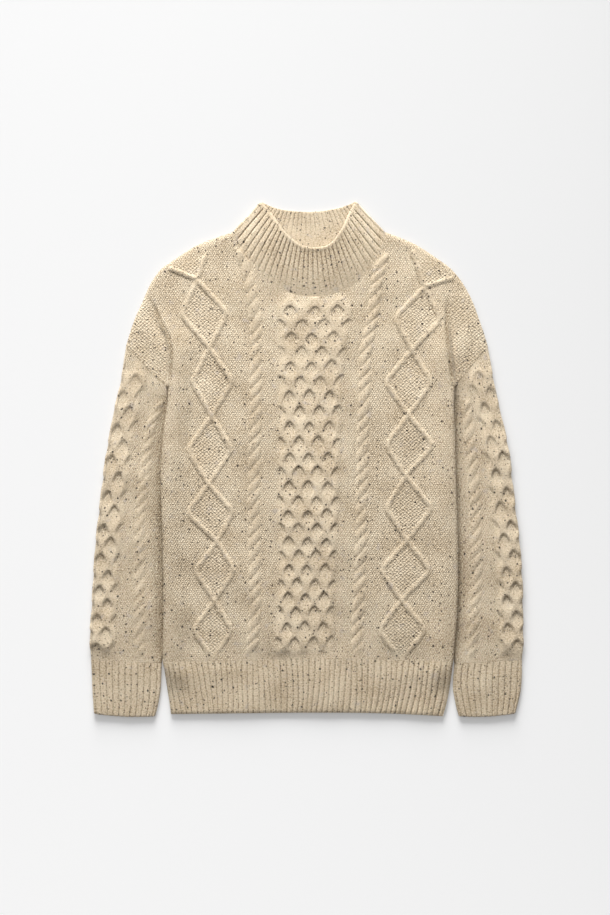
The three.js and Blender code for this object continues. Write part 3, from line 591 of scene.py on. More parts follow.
def ring_shell(name, outer, inner, cloth_uv, marks, lip_rows):
    """A closed tube of cloth from rows of rings outside and inside, with rounded ends.

    lip_rows are the rows round its first and last end, and an end with one row is a seam."""
    outer, inner, cloth_uv = np.array(outer), np.array(inner), np.array(cloth_uv)

    def lip(a, b, before, count):
        rows = []
        outward = a - before
        outward = outward / np.maximum(np.linalg.norm(outward, axis=1, keepdims=True), 1e-6)
        thickness = np.linalg.norm(b - a, axis=1, keepdims=True)
        for k in range(1, count + 1):
            t = k / (count + 1)
            rows.append(a + (b - a) * (0.5 - 0.5 * math.cos(math.pi * t))
                        + outward * thickness * 0.4 * math.sin(math.pi * t))
        return rows

    end = lip(outer[-1], inner[-1], outer[-2], lip_rows[1])
    start = lip(inner[0], outer[0], inner[1], lip_rows[0])
    rows = [*outer, *end, *inner[::-1], *start]
    n = len(outer[0])
    m = len(rows)
    faces = []
    seam_faces = []
    for r in range(m):
        s = (r + 1) % m
        at_end = lip_rows[1] == 1 and len(outer) - 1 <= r <= len(outer)
        at_start = lip_rows[0] == 1 and r >= m - 2
        if at_end or at_start:
            seam_faces += range(r * n, r * n + n)
        for i in range(n):
            j = (i + 1) % n
            faces.append((r * n + i, r * n + j, s * n + j, s * n + i))

    def spread(grid):
        """Values of the outer rows carried to every row, so the inside has the same ones."""
        last, first = [grid[-1]] * len(end), [grid[0]] * len(start)
        index = np.linspace(len(grid) - 1, 0, len(inner)).round().astype(int)
        return np.vstack([*grid, *last, *[grid[i] for i in index], *first])

    uv = np.column_stack([spread(cloth_uv[:, :, 0]).ravel(), spread(cloth_uv[:, :, 1]).ravel()])
    flat_marks = {mark: spread(values).ravel() for mark, values in marks.items()}
    return new_piece(name, np.vstack(rows), faces, uv, flat_marks, set(seam_faces))


# %% [markdown]
# ## The front
# The front is the richest piece. Its face rises over the sleeves at the sides, drops to
# a rounded edge there and at the shoulders, and dips a little along each seam.

# %% Edges of the body
SIDES = ("left", "right")
shoulder = {side: curve(edge_points(SHOULDER, side)) for side in SIDES}
armhole = {side: curve(edge_points(ARMHOLE, side)) for side in SIDES}
side_edge = {side: curve(edge_points(SIDE, side)) for side in SIDES}
hem_side = {side: curve(edge_points(HEM_SIDE, side)) for side in SIDES}
rounded_edges = [shoulder[side] for side in SIDES]
rounded_edges += [np.vstack([side_edge[side], hem_side[side][1:]]) for side in SIDES]
seam_paths = [armhole["left"], armhole["right"]]
EDGE_RADIUS = 7
EDGE_DROP = 1.9
SEAM_DIP = 0.3
SEAM_REACH = 3


def edge_distance(x, y):
    return np.min([distance(x, y, path) for path in rounded_edges], axis=0)


def seam_distance(x, y):
    return np.min([distance(x, y, path) for path in seam_paths], axis=0)


def body_loop(neck):
    """The body's outline, counter-clockwise, from the right end of a neck line."""
    parts = [
        neck[::-1],
        shoulder["left"][1:],
        armhole["left"][1:],
        side_edge["left"][1:],
        curve(HEM_TOP)[1:],
        side_edge["right"][::-1][1:],
        armhole["right"][::-1][1:],
        shoulder["right"][::-1][1:-1],
    ]
    return np.vstack(parts)


# %% Creases, listed one by one
# Each crease is a soft trough or ridge: two ends, its half width and its height.
CREASES = [
    ((-205, 205), (-150, 118), 16, -1.3),
    ((-236, 196), (-202, 150), 12, 1.2),
    ((206, 214), (160, 132), 18, -1.1),
    ((238, 190), (212, 150), 12, 1.0),
    ((-186, 90), (-140, 20), 20, -1.0),
    ((190, 84), (160, -10), 22, -0.9),
    ((-96, -150), (-40, -262), 24, 0.9),
    ((110, -190), (150, -270), 22, 0.9),
    ((-175, -190), (-186, -275), 18, 1.0),
    ((40, -230), (20, -275), 20, -0.8),
]


# Slow unevenness over all of the front: height, length of a wave and seed
LOOSE_WAVES = [(0.7, 130, 3), (0.3, 45, 4)]
LOWEST_CREASE = -1.2
CALM_NEAR_EDGE = 25
CALM_NEAR_SEAM = 20
VALLEY_DEPTH = 1.6
VALLEY_SHIFT = 2.4
VALLEY_OUTSIDE, VALLEY_INSIDE = 6.5, 1.8


def creases(x, y):
    total = np.zeros_like(x)
    for start, end, half, height in CREASES:
        path = np.array([start, end], float)
        total += height * np.exp(-((distance(x, y, path) / half) ** 2))
    return total


def fold_valley(x, y):
    """1 in the valley just outside the fold at each armhole, and 0 away from it."""
    beyond = beyond_fold(x, y) + VALLEY_SHIFT
    reach = np.where(beyond > 0, VALLEY_OUTSIDE, VALLEY_INSIDE)
    return np.exp(-((beyond / reach) ** 2)) * step(98, 120, y) * (1 - step(205, 232, y))


def front_height(x, y):
    pattern = over_plain_knit(x, y)[0]
    away = edge_distance(x, y)
    seam = SEAM_DIP * (1 - step(0, SEAM_REACH, seam_distance(x, y)))
    calm = step(0, CALM_NEAR_EDGE, away) * step(0, CALM_NEAR_SEAM, seam_distance(x, y))
    calm = calm * step(0, CALM_NEAR_EDGE, y - SIDE[-1, 0])
    calm = calm * step(0, CALM_NEAR_SEAM, distance(x, y, curve(NECK_SEAM)))
    loose = creases(x, y)
    for wave, length, seed in LOOSE_WAVES:
        loose = loose + wave * waves(x, y, length, seed)
    valley = VALLEY_DEPTH * fold_valley(x, y)
    surface = STACK + rise(x, y) - round_drop(away, EDGE_DROP, EDGE_RADIUS)
    return surface - seam - valley + pattern + np.maximum(loose * calm, LOWEST_CREASE)


def front_under(x, y):
    return WALL + GAP + rise(x, y)


# Painted shade, as strength and reach: in the fold's valley, along the body's sides,
# more widely beside them low down, and in the armhole seams
FOLD_SHADE = 0.75
SIDE_LINE = (0.4, 3)
SIDE_SHADOW = (0.16, 32)
SEAM_LINE = (0.5, 0.8)


def fading(strength_and_reach, away):
    """A strength that fades with the distance from a line."""
    strength, reach = strength_and_reach
    return strength * np.exp(-((away / reach) ** 2))


def front_marks(x, y):
    _, smooth_knit, moss, hollow = over_plain_knit(x, y)
    beside = np.min([distance(x, y, side_edge[side]) for side in SIDES], axis=0)
    hollow = hollow + FOLD_SHADE * fold_valley(x, y) + fading(SIDE_LINE, beside)
    hollow = hollow + fading(SIDE_SHADOW, beside) * (1 - step(-100, 60, y))
    hollow = hollow + fading(SEAM_LINE, seam_distance(x, y))
    return {"smooth_knit": smooth_knit, "moss": moss, "hollow": np.minimum(hollow, 1)}


FINE, COARSE = 1.55, 14
DETAIL_TOP = 232
ROPE_DETAIL = 12
LINE_DETAIL = 6
FOLD_DETAIL = 8


def front_detail(x, y):
    """Where the front needs close points: on its cables, strands and folds."""
    row_order = LATTICE_ROWS[::-1]
    axis, half_cell = (np.interp(y, row_order[:, 1], row_order[:, i]) for i in (2, 3))
    close = (np.abs(x - axis) < LATTICE_REACH * half_cell) & (y < DETAIL_TOP)
    for path in FRONT_ROPES:
        close |= np.abs(x - np.interp(y, path[::-1, 1], path[::-1, 0])) < ROPE_DETAIL
    for rows, half in zip(DIAMOND_COLUMNS, HALF_DIAMONDS):
        for path in [*diamond_strands(rows), straight(half)]:
            close |= distance(x, y, path) < LINE_DETAIL
    for side in SIDES:
        close |= distance(x, y, side_edge[side]) < LINE_DETAIL
    return close | (np.abs(beyond_fold(x, y)) < FOLD_DETAIL)


front = panel("front_knit", body_loop(curve(NECK_SEAM)), front_height, front_under, front_marks,
              FINE, COARSE, front_detail)

# %% [markdown]
# ## The back
# The back lies on the table, so its underside is flat and only its edges turn up. It is
# out of sight, so it is left plain. A mark that a piece doesn't have counts as 0.

# %% Back panel
BACK_COARSE, BACK_UNDER = 12, 6


def no_marks(x, y):
    return {}


def back_top(x, y):
    return WALL + rise(x, y)


def back_under(x, y):
    return rise(x, y) + round_drop(edge_distance(x, y), EDGE_DROP, EDGE_RADIUS)


back = panel("back_knit", body_loop(curve(BACK_NECK)), back_top, back_under, no_marks,
             BACK_COARSE, BACK_UNDER)

# %% [markdown]
# ## Ribs
# A rib is a wide raised column of knit stitches beside a narrow purl groove. One
# profile serves the hem, the cuffs and the neck.

# %% Rib profile
RIB_GROOVE = 0.17


def rib(count, fraction):
    """0 in a groove and 1 on a rib, at a fraction of the way across all the ribs."""
    to_groove = np.abs(count * fraction - np.round(count * fraction))
    wall = np.sin(np.clip(to_groove / RIB_GROOVE, 0, 1) * math.pi / 2)
    return 0.82 * wall + 0.18 * np.sin(to_groove * math.pi)


# %% Hem of the front and the back
HEM_RIBS = 52
HEM_COLUMNS = 8
HEM_ROWS = 30
HEM_GAP = 0.02
HEM_RIB_DEPTH = 2.3
HEM_WIDTH = 400
HEM_LENGTH = 74
HEM_LIP_DROP, HEM_LIP_RADIUS = 1.2, 3
BACK_COLUMNS, BACK_ROWS = 80, 12
# The plain height lies this share of the way up from a groove to the top of a rib
RIB_LEVEL = 0.9


def hem_piece(name, front_side):
    """A ribbed band from the body's lower edge to the hem."""
    columns = HEM_RIBS * HEM_COLUMNS if front_side else BACK_COLUMNS
    rows = HEM_ROWS if front_side else BACK_ROWS
    u = np.linspace(0, 1, columns + 1)
    upper = curve(HEM_TOP, count=columns) - (0, HEM_GAP)
    lower = curve(HEM_BOTTOM, count=columns)
    left = curve(edge_points(HEM_SIDE, "left"), count=rows)
    right = curve(edge_points(HEM_SIDE, "right"), count=rows)
    grid = []
    for k in range(rows + 1):
        v = k / rows
        row = upper * (1 - v) + lower * v
        bend = np.outer(1 - u, left[k] - row[0]) + np.outer(u, right[k] - row[-1])
        bend[:, 1] = 0
        grid.append(row + bend)
    grid = np.array(grid)
    x, y = grid[..., 0].ravel(), grid[..., 1].ravel()
    down = np.repeat(np.linspace(0, 1, rows + 1), columns + 1)
    across = np.tile(u, rows + 1)
    wobble = 0.0035 * np.sin(across * 21 + down * 2.2) + 0.002 * np.sin(across * 57 - down * 3)
    ribs = rib(HEM_RIBS, np.clip(across + wobble, 0, 1))
    lip = round_drop((1 - down) * HEM_LENGTH, HEM_LIP_DROP, HEM_LIP_RADIUS)
    side = round_drop(edge_distance(x, y), EDGE_DROP, EDGE_RADIUS)
    base = rise(x, y)
    if front_side:
        grooves = HEM_RIB_DEPTH * (RIB_LEVEL - ribs) * (1 - 0.4 * side / EDGE_DROP) * step(0, 0.08, down)
        loose = (0.5 + 0.6 * waves(x, y, 70, 8)) * step(0, 20, edge_distance(x, y)) * step(0, 0.3, down)
        top = base + STACK - grooves + np.maximum(loose, 0) - lip - side
        under = base + WALL + GAP
    else:
        top = base + WALL
        under = base + side
    n = len(x)
    points = np.vstack([np.column_stack([x, y, top]), np.column_stack([x, y, under])])
    width = columns + 1
    faces = []
    for k in range(rows):
        for i in range(columns):
            a = k * width + i
            faces.append((a, a + width, a + width + 1, a + 1))
            faces.append((n + a, n + a + 1, n + a + width + 1, n + a + width))
    rim = list(range(width - 1))
    rim += [k * width + columns for k in range(rows)]
    rim += [rows * width + i for i in range(columns, 0, -1)]
    rim += [k * width for k in range(rows, 0, -1)]
    for a, b in zip(rim, rim[1:] + rim[:1]):
        faces.append((a, b, n + b, n + a))
    uv = np.column_stack([across * HEM_WIDTH, y])
    smooth = np.tile(step(0.3, 0.8, ribs) if front_side else np.zeros(n), 2)
    # Painted shade: along the band's rounded sides, and in the front's rib grooves, stronger below the seam
    side_shade = 0.3 * np.exp(-((edge_distance(x, y) / 4) ** 2))
    hollow = np.tile((0.35 + 0.3 * step(0, 0.1, down)) * front_side, 2)
    return new_piece(name, points, faces, np.vstack([uv, uv]), {
        "smooth_knit": smooth, "hollow": hollow,
        "ribs": np.tile(HEM_RIBS * (across + wobble), 2), "shade": np.tile(side_shade, 2),
    }, range(len(faces) - len(rim), len(faces)))


hem_front = hem_piece("hem_front_rib", True)
hem_back = hem_piece("hem_back_rib", False)

# %% [markdown]
# ## Sleeves and cuffs
# A sleeve laid flat is a tube pressed together. Its rows run from the armhole seam to
# the wrist, and the honeycomb wraps round the outer fold.

# %% Sleeve
SLEEVE_ROPES = {
    "left": np.array([
        (-204, 84), (-210, 66), (-218, 48), (-223, 13), (-230, -50), (-234, -99), (-234, -290),
    ], float),
    "right": np.array([
        (222, 84), (225, 66), (227, 48), (231, 5), (236, -43), (238, -169), (230, -290),
    ], float),
}
SLEEVE_ROWS_DOWN = np.array([(19, -291), (13, -169), (9, -82), (5, 13), (3, 60), (1, 106), (0, 126)], float)
SLEEVE_LATTICE = {"raise": {"left": 0, "right": 5}, "first": 8.3, "half_cell": 12.5}
SLEEVE_LATTICE_HEIGHT, SLEEVE_LATTICE_DEEPENS = 2.2, 1.0
SLEEVE_ROPE_PITCH = 18.2
SLEEVE_ROPE_HALF = 8.0
SLEEVE_ROPE_SHADE = 0.8
# The sleeve sinks beside the body: depth and reach in millimetres, then its painted shade
SLEEVE_VALLEY, SLEEVE_VALLEY_REACH = 2.4, 13
VALLEY_SHADE = {"left": 0.85, "right": 0.6}
VALLEY_SHADE_REACH = 12
VALLEY_SHADE_TOP = 90
SEAM_SHADE = 0.4
BOW_ROWS = 60
INNER_ROW_STEP = 8
SLEEVE_COLUMNS = 56
SLEEVE_ROWS = 220
UNDER_COLUMNS = 14


def sleeve_pattern(side, x, y, inset):
    """A sleeve's height, where it is smooth knit, and its painted shade; inset is the way over the cloth
    from the outer fold.
    """
    s = SLEEVE_LATTICE
    across = (inset - s["first"]) / s["half_cell"]
    down = np.interp(y - s["raise"][side], SLEEVE_ROWS_DOWN[:, 1], SLEEVE_ROWS_DOWN[:, 0])
    fade = (1 - step(1.6, 2.4, across)) * step(-2.4, -1.6, across) * step(-0.6, 0.4, down)
    deeper = step(1, 8, down)
    ropes, shade = lattice(across, down, SLEEVE_LATTICE_HEIGHT + SLEEVE_LATTICE_DEEPENS * deeper)
    shade = shade * (0.6 + 0.4 * deeper)
    cable, groove = rope(x, y, SLEEVE_ROPES[side], SLEEVE_ROPE_PITCH, SLEEVE_ROPE_HALF, ROPE_HEIGHT)
    height = np.maximum(ropes * fade, cable)
    smooth_knit = step(0.8, 1.6, np.maximum(ropes * fade, cable * 1.5))
    hollow = shade * fade * (1 - 0.6 * step(1.2, 1.8, across))
    return height, smooth_knit, np.maximum(hollow, SLEEVE_ROPE_SHADE * groove)


def sleeve_piece(side):
    sign = -1 if side == "left" else 1
    seam = edge_points(ARMHOLE, side)
    seam = seam + np.array([sign, -1]) * SEAM_GAP * 1.2
    outer_edge = edge_points(SLEEVE_OUTER, side)
    outer_edge[0] = seam[0]
    inner_edge = edge_points(SLEEVE_INNER, side)
    inner_edge[0] = seam[-1]
    outer_fold = curve(outer_edge, count=SLEEVE_ROWS)
    inner_fold = curve(inner_edge, count=SLEEVE_ROWS)
    top_line = curve(seam, count=SLEEVE_COLUMNS)
    outer_rows, inner_rows, uv_rows, smooth_rows, hollow_rows = [], [], [], [], []
    for k in range(SLEEVE_ROWS + 1):
        straight_line = np.linspace(outer_fold[k], inner_fold[k], SLEEVE_COLUMNS + 1)
        bow = top_line - np.linspace(top_line[0], top_line[-1], SLEEVE_COLUMNS + 1)
        line = straight_line + bow * max(0, 1 - k / BOW_ROWS)
        if side == "right":
            line = line[::-1]
        coarse = line[:: SLEEVE_COLUMNS // UNDER_COLUMNS]
        ring, normals, kind = flat_ring(line, coarse, MIDDLE)
        inner_ring, _, _ = flat_ring(line, coarse, GAP / 2)
        share = (WALL / np.linalg.norm(line[-1] - line[0])) * 2
        draw_in(inner_ring, ring, inner_ring[:, :2].mean(axis=0), share)
        x, y = ring[:, 0], ring[:, 1]
        outer_x = abs(float(at(SLEEVE_OUTER, side, outer_fold[k][1])))
        fold_side = np.abs(x) > outer_x - MIDDLE
        round_fold = MIDDLE - (math.pi / 2 - np.arcsin(np.clip(kind, -1, 1))) * MIDDLE
        inset = np.where(fold_side, round_fold, np.abs(at(SLEEVE_OUTER, side, y)) - np.abs(x))
        height, smooth, hollow = sleeve_pattern(side, x, y, inset)
        side_x = np.abs(at(SIDE, side, y))
        clear = step(1, 9, np.abs(x) - side_x) * step(-0.35, 0.35, kind)
        height = height * (0.45 + 0.55 * step(0.2, 1.0, kind))
        seam_away = step(0, 16, distance(x, y, seam))
        wrist_away = step(0, 0.055, 1 - k / SLEEVE_ROWS)
        beside = np.maximum(0, np.abs(x) - side_x)
        hang = 1.2 * waves(x, y, 90, 11) * step(0, 20, np.abs(x) - side_x)
        valley = fading((SLEEVE_VALLEY, SLEEVE_VALLEY_REACH), beside)
        loose = np.maximum(np.maximum(0, hang + 0.5) - valley, -SLEEVE_VALLEY)
        lift = (height * clear + loose * step(0.2, 0.9, kind)) * seam_away * wrist_away
        outer_rows.append(ring + normals * lift[:, None])
        inner_rows.append(inner_ring)
        around = np.r_[0, np.cumsum(np.linalg.norm(np.diff(ring, axis=0), axis=1))]
        uv_rows.append(np.column_stack([around, y]))
        smooth_rows.append(smooth * clear)
        # Painted shade: in the cable hollows, in the valley beside the body and along the armhole seam
        shade = fading((VALLEY_SHADE[side], VALLEY_SHADE_REACH), beside)
        shade = shade * (kind > 0) * (y < VALLEY_SHADE_TOP) + SEAM_SHADE * (k == 0)
        hollow_rows.append(np.minimum(1, hollow * clear * wrist_away + shade))
    marks = {"smooth_knit": smooth_rows, "hollow": hollow_rows}
    inner = inner_rows[::INNER_ROW_STEP]
    return ring_shell(f"sleeve_{side}_knit", outer_rows, inner, uv_rows, marks, (1, 1))


# %% Cuff
CUFF_RIBS = 11
CUFF_COLUMNS = 10
CUFF_ROWS = 34
CUFF_RIB_DEPTH = 1.7
CUFF_WIDTH = 97
CUFF_SAG = 2.5
CUFF_WOBBLE = 0.006
# Painted shade in the rib grooves on the cuff's upper face
CUFF_GROOVE_SHADE = 0.6
CUFF_UNDER_STEP = 5
CUFF_INNER_SHARE = WALL / 50


def cuff_piece(side):
    outer_fold = curve(edge_points(CUFF_OUTER, side), count=CUFF_ROWS)
    inner_fold = curve(edge_points(CUFF_INNER, side), count=CUFF_ROWS)
    outer_rows, inner_rows, uv_rows, smooth_rows, hollow_rows, rib_rows = [], [], [], [], [], []
    columns = CUFF_RIBS * CUFF_COLUMNS
    for k in range(CUFF_ROWS + 1):
        v = k / CUFF_ROWS
        line = np.linspace(outer_fold[k], inner_fold[k], columns + 1)
        line[:, 1] += 0.3 * (k == 0)
        line[:, 1] -= CUFF_SAG * v * np.sin(np.linspace(0, math.pi, columns + 1))
        if side == "right":
            line = line[::-1]
        coarse = line[::CUFF_UNDER_STEP]
        ring, normals, kind = flat_ring(line, coarse, MIDDLE)
        inner_ring, _, _ = flat_ring(line, coarse, GAP / 2)
        draw_in(inner_ring, ring, inner_ring[:, :2].mean(axis=0), CUFF_INNER_SHARE)
        across = np.linalg.norm(ring[:, :2] - ring[0, :2], axis=1) / np.linalg.norm(line[-1] - line[0])
        ribs_at = across + CUFF_WOBBLE * math.sin(5 * v)
        ribs = rib(CUFF_RIBS, ribs_at)
        up = step(0.2, 0.9, kind)
        swell = 0.5 * np.maximum(0, waves(ring[:, 0], ring[:, 1], 60, 5))
        lift = (swell - CUFF_RIB_DEPTH * (RIB_LEVEL - ribs)) * up * step(0, 0.1, v)
        outer_rows.append(ring + normals * lift[:, None])
        inner_rows.append(inner_ring)
        uv_rows.append(np.column_stack([across * CUFF_WIDTH, ring[:, 1]]))
        smooth_rows.append(step(0.3, 0.8, ribs) * up)
        hollow_rows.append(CUFF_GROOVE_SHADE * up)
        rib_rows.append(CUFF_RIBS * ribs_at)
    marks = {"smooth_knit": smooth_rows, "hollow": hollow_rows, "ribs": rib_rows}
    return ring_shell(f"cuff_{side}_rib", outer_rows, inner_rows[::2], uv_rows, marks, (1, 4))


sleeves = {side: sleeve_piece(side) for side in SIDES}
cuffs = {side: cuff_piece(side) for side in SIDES}

# %% [markdown]
# ## The neck
# The mock neck is a short ribbed tube. Its front edge falls in a curve, so the inside of
# its back shows behind it. The ribs fan out from the narrow top to the wide seam.

# %% Collar
COLLAR_RIBS = 31
COLLAR_COLUMNS = 10
COLLAR_BACK_RIBS = 25
COLLAR_ROWS = 30
COLLAR_RIB_DEPTH = 2.3
COLLAR_LIFT = 4.2
RIB_CROWDING = 0.02
COLLAR_MIDDLE = (3.5, 330.0)
COLLAR_LENGTH = 68
COLLAR_RIB_WIDTH = 7.2
COLLAR_BULGE = 2.0
COLLAR_INSIDE_DEPTH = 1.1
COLLAR_INSIDE_SHADE = 0.55
COLLAR_SHADE = 0.35


def collar_piece():
    front_columns = COLLAR_RIBS * COLLAR_COLUMNS
    back_columns = COLLAR_BACK_RIBS * COLLAR_COLUMNS
    seam = curve(NECK_SEAM, count=front_columns)
    inward = np.array(COLLAR_MIDDLE) - seam
    seam = seam + inward / np.linalg.norm(inward, axis=1, keepdims=True) * SEAM_GAP * 1.3
    top = curve(COLLAR_FRONT_TOP, count=front_columns)
    back_seam = curve(BACK_NECK, count=back_columns) + (0, SEAM_GAP)
    back_seam[0], back_seam[-1] = seam[0], seam[-1]
    back_top_line = curve(COLLAR_BACK_TOP, count=back_columns)
    outer_rows, inner_rows, uv_rows, smooth_rows = [], [], [], []
    hollow_rows, rib_rows, shade_rows = [], [], []
    for k in range(COLLAR_ROWS + 1):
        v = k / COLLAR_ROWS
        bulge = COLLAR_BULGE * math.sin(math.pi * v)
        upper = seam * (1 - v) + top * v
        lower = back_seam * (1 - v) + back_top_line * v
        ring, normals, _ = flat_ring(upper, lower, MIDDLE)
        inner_ring, _, _ = flat_ring(upper, lower, GAP / 2)
        n_front, n_back = len(upper), len(lower)
        width = np.linalg.norm(upper[-1] - upper[0])
        draw_in(inner_ring, ring, np.array([upper[:, 0].mean(), 0]), np.array([WALL * 1.6 / width, 0]))
        front_u = np.zeros(len(ring))
        front_u[:n_front] = np.linspace(0, 1, n_front)
        turn = len(ring) - n_front - n_back
        back_u = np.zeros(len(ring))
        back_start = n_front + turn // 2
        back_u[back_start:back_start + n_back] = np.linspace(0, 1, n_back)
        is_front = np.zeros(len(ring))
        is_front[:n_front] = 1
        at_top = step(0.93, 0.98, v)
        away = np.minimum(front_u, 1 - front_u) * is_front
        openness = COLLAR_LIFT * v * step(0.06, 0.3, away)
        to_side = np.abs(2 * front_u - 1) ** 1.5
        depth = 0.1 + 0.9 * step(0.0, 0.75, v)
        depth = (depth + (step(0, 0.1, v) - depth) * to_side) * (1 - at_top)
        spread_u = front_u - RIB_CROWDING * np.sin(2 * math.pi * front_u) + 0.002 * math.sin(3 * v)
        ribs = rib(COLLAR_RIBS, spread_u) * is_front
        lift = 0.2 * step(0, 0.2, v) - COLLAR_RIB_DEPTH * depth * (1 - ribs) + bulge * step(0, 0.1, away)
        lift = (lift + 0.5 * at_top * step(0.05, 0.2, away)) * is_front * step(0, 0.02, away)
        placed = ring + normals * lift[:, None]
        placed[:, 2] += openness
        outer_rows.append(placed)
        is_back = (np.arange(len(ring)) >= back_start) & (np.arange(len(ring)) < back_start + n_back)
        inside_ribs = rib(COLLAR_BACK_RIBS, back_u) * is_back
        inner_ring[:, 2] += openness + np.where(is_back, COLLAR_INSIDE_DEPTH * v * (inside_ribs - 1), 0)
        inner_rows.append(inner_ring)
        u = np.where(is_front > 0, front_u * COLLAR_RIBS, back_u * COLLAR_BACK_RIBS) * COLLAR_RIB_WIDTH
        uv_rows.append(np.column_stack([u, np.full(len(ring), v * COLLAR_LENGTH)]))
        smooth_rows.append(np.maximum(step(0.3, 0.8, ribs), step(0.3, 0.8, inside_ribs)))
        # Painted shade: in the front's rib grooves, on the inside of the back, and over the front, growing
        # towards its top edge
        inside_shade = is_back * COLLAR_INSIDE_SHADE * step(0.2, 1, v)
        hollow_rows.append(is_front * depth * (1 - 0.4 * to_side) + inside_shade)
        shade = is_front * COLLAR_SHADE * step(0.1, 0.9, v) * (1 - at_top)
        shade_rows.append(shade * step(0, 0.3, away))
        rib_rows.append(COLLAR_RIBS * spread_u * is_front + COLLAR_BACK_RIBS * back_u)
    marks = {"smooth_knit": smooth_rows, "hollow": hollow_rows, "ribs": rib_rows, "shade": shade_rows}
    return ring_shell("collar_rib", outer_rows, inner_rows, uv_rows, marks, (1, 4))


collar = collar_piece()

# %% [markdown]
# ## Wool
# The yarn looks like a tweed wool: short soft fibres of several shades spun together,
# with dark flecks called neps. It scatters light and has no gloss, only a faint sheen
# from the fibre ends. A stitch is too small to measure in the photograph, so it is taken
# as 3.4 mm wide and 2.8 mm high, which is usual for a worsted yarn. Stitches are made by
# the material, because as real points they would be far too many.

# %% Colour and node helpers
def linear(hex_code):
    """An sRGB hex colour as linear RGBA."""
    channels = [int(hex_code[i:i + 2], 16) / 255 for i in (1, 3, 5)]
    return [c / 12.92 if c <= 0.04045 else ((c + 0.055) / 1.055) ** 2.4 for c in channels] + [1.0]


def node(tree, kind, settings=None, links=None):
    """Adds a node with its settings (by input or property name) and its incoming links."""
    made = tree.nodes.new(kind)
    for key, value in (settings or {}).items():
        if isinstance(key, int) or key in made.inputs:
            made.inputs[key].default_value = value
        else:
            setattr(made, key, value)
    for key, socket in (links or {}).items():
        tree.links.new(socket, made.inputs[key])
    return made


# %% Tweed wool
OATMEAL = "#CBB99E"
PALE = "#DCCEB5"
SHADE = "#A49073"
LILAC = "#B4A9A0"
# Painted shade: the colour that grooves, lattice cells, valleys and seams are darkened towards
HOLLOW_SHADE = "#A39A88"
NEP = "#2A221C"
NEP_SOFT = "#54463A"
STITCH_WIDTH = 0.0034
STITCH_HEIGHT = 0.0028
SEED_WIDTH = 0.0028
SEED_HEIGHT = 0.0025
GROOVE_HALF = 0.16
STITCH_STEPS = [
    # result, operation, then numbers or earlier results
    ("wale", "MULTIPLY_ADD", "u", 1 / STITCH_WIDTH, "sway_u"),
    ("course", "MULTIPLY_ADD", "v", 1 / STITCH_HEIGHT, "sway_v"),
    # Knit side: each stitch is a V whose arms meet in the middle of its column
    ("wale_part", "FRACT", "wale"),
    ("off_middle", "SUBTRACT", "wale_part", 0.5),
    ("side", "ABSOLUTE", "off_middle"),
    ("vee_place", "MULTIPLY_ADD", "side", -1.3, "course"),
    ("vee_turn", "MULTIPLY", "vee_place", 2 * math.pi),
    ("vee", "SINE", "vee_turn"),
    ("vee_height", "MULTIPLY_ADD", "vee", 0.16, 0.5),
    ("column_turn", "MULTIPLY", "side", 2 * math.pi),
    ("column", "SINE", "column_turn"),
    ("knit", "MULTIPLY_ADD", "column", 0.3, "vee_height"),
    # Purl side: rows of bumps, each row shifted by half a stitch
    ("bump_turn", "MULTIPLY", "wale", 2 * math.pi),
    ("bumps", "SINE", "bump_turn"),
    ("row_turn", "MULTIPLY", "course", math.pi),
    ("row_wave", "SINE", "row_turn"),
    ("brick", "MULTIPLY", "row_wave", "bumps"),
    ("row", "ABSOLUTE", "row_wave"),
    ("row_height", "MULTIPLY_ADD", "row", 0.22, 0.4),
    ("purl", "MULTIPLY_ADD", "brick", 0.5, "row_height"),
    # Moss stitch: knit and purl take turns both ways, which leaves a field of seeds
    ("seed_at_u", "MULTIPLY_ADD", "sway_u", 0.6, "wale"),
    ("seed_at_v", "MULTIPLY_ADD", "sway_v", 0.6, "course"),
    ("seed_turn_u", "MULTIPLY", "seed_at_u", math.pi * STITCH_WIDTH / SEED_WIDTH),
    ("seed_turn_v", "MULTIPLY", "seed_at_v", math.pi * STITCH_HEIGHT / SEED_HEIGHT),
    ("seed_u", "SINE", "seed_turn_u"),
    ("seed_v", "SINE", "seed_turn_v"),
    ("seeds", "MULTIPLY", "seed_u", "seed_v"),
    ("moss_stitch", "MULTIPLY_ADD", "seeds", 0.56, 0.5),
    # Grooves lie where the count of ribs is a whole number
    ("rib_part", "FRACT", "ribs"),
    ("rib_off", "SUBTRACT", "rib_part", 0.5),
    ("rib_side", "ABSOLUTE", "rib_off"),
]
# Wool scatters light: rough, little mirror reflection, and a sheen from the fibre ends
WOOL_FINISH = {
    "Roughness": 0.92, "Specular IOR Level": 0.18, "Sheen Weight": 0.22, "Sheen Roughness": 0.55,
}
CABLE_STITCH_DEPTH = 0.0010
RIB_STITCH_DEPTH = 0.0009
NEP_LAYERS = [
    # cell, largest radius, share of empty cells, colour
    (0.0125, 0.0017, 0.55, NEP),
    (0.0080, 0.0011, 0.62, NEP),
    (0.0046, 0.0007, 0.60, NEP_SOFT),
]


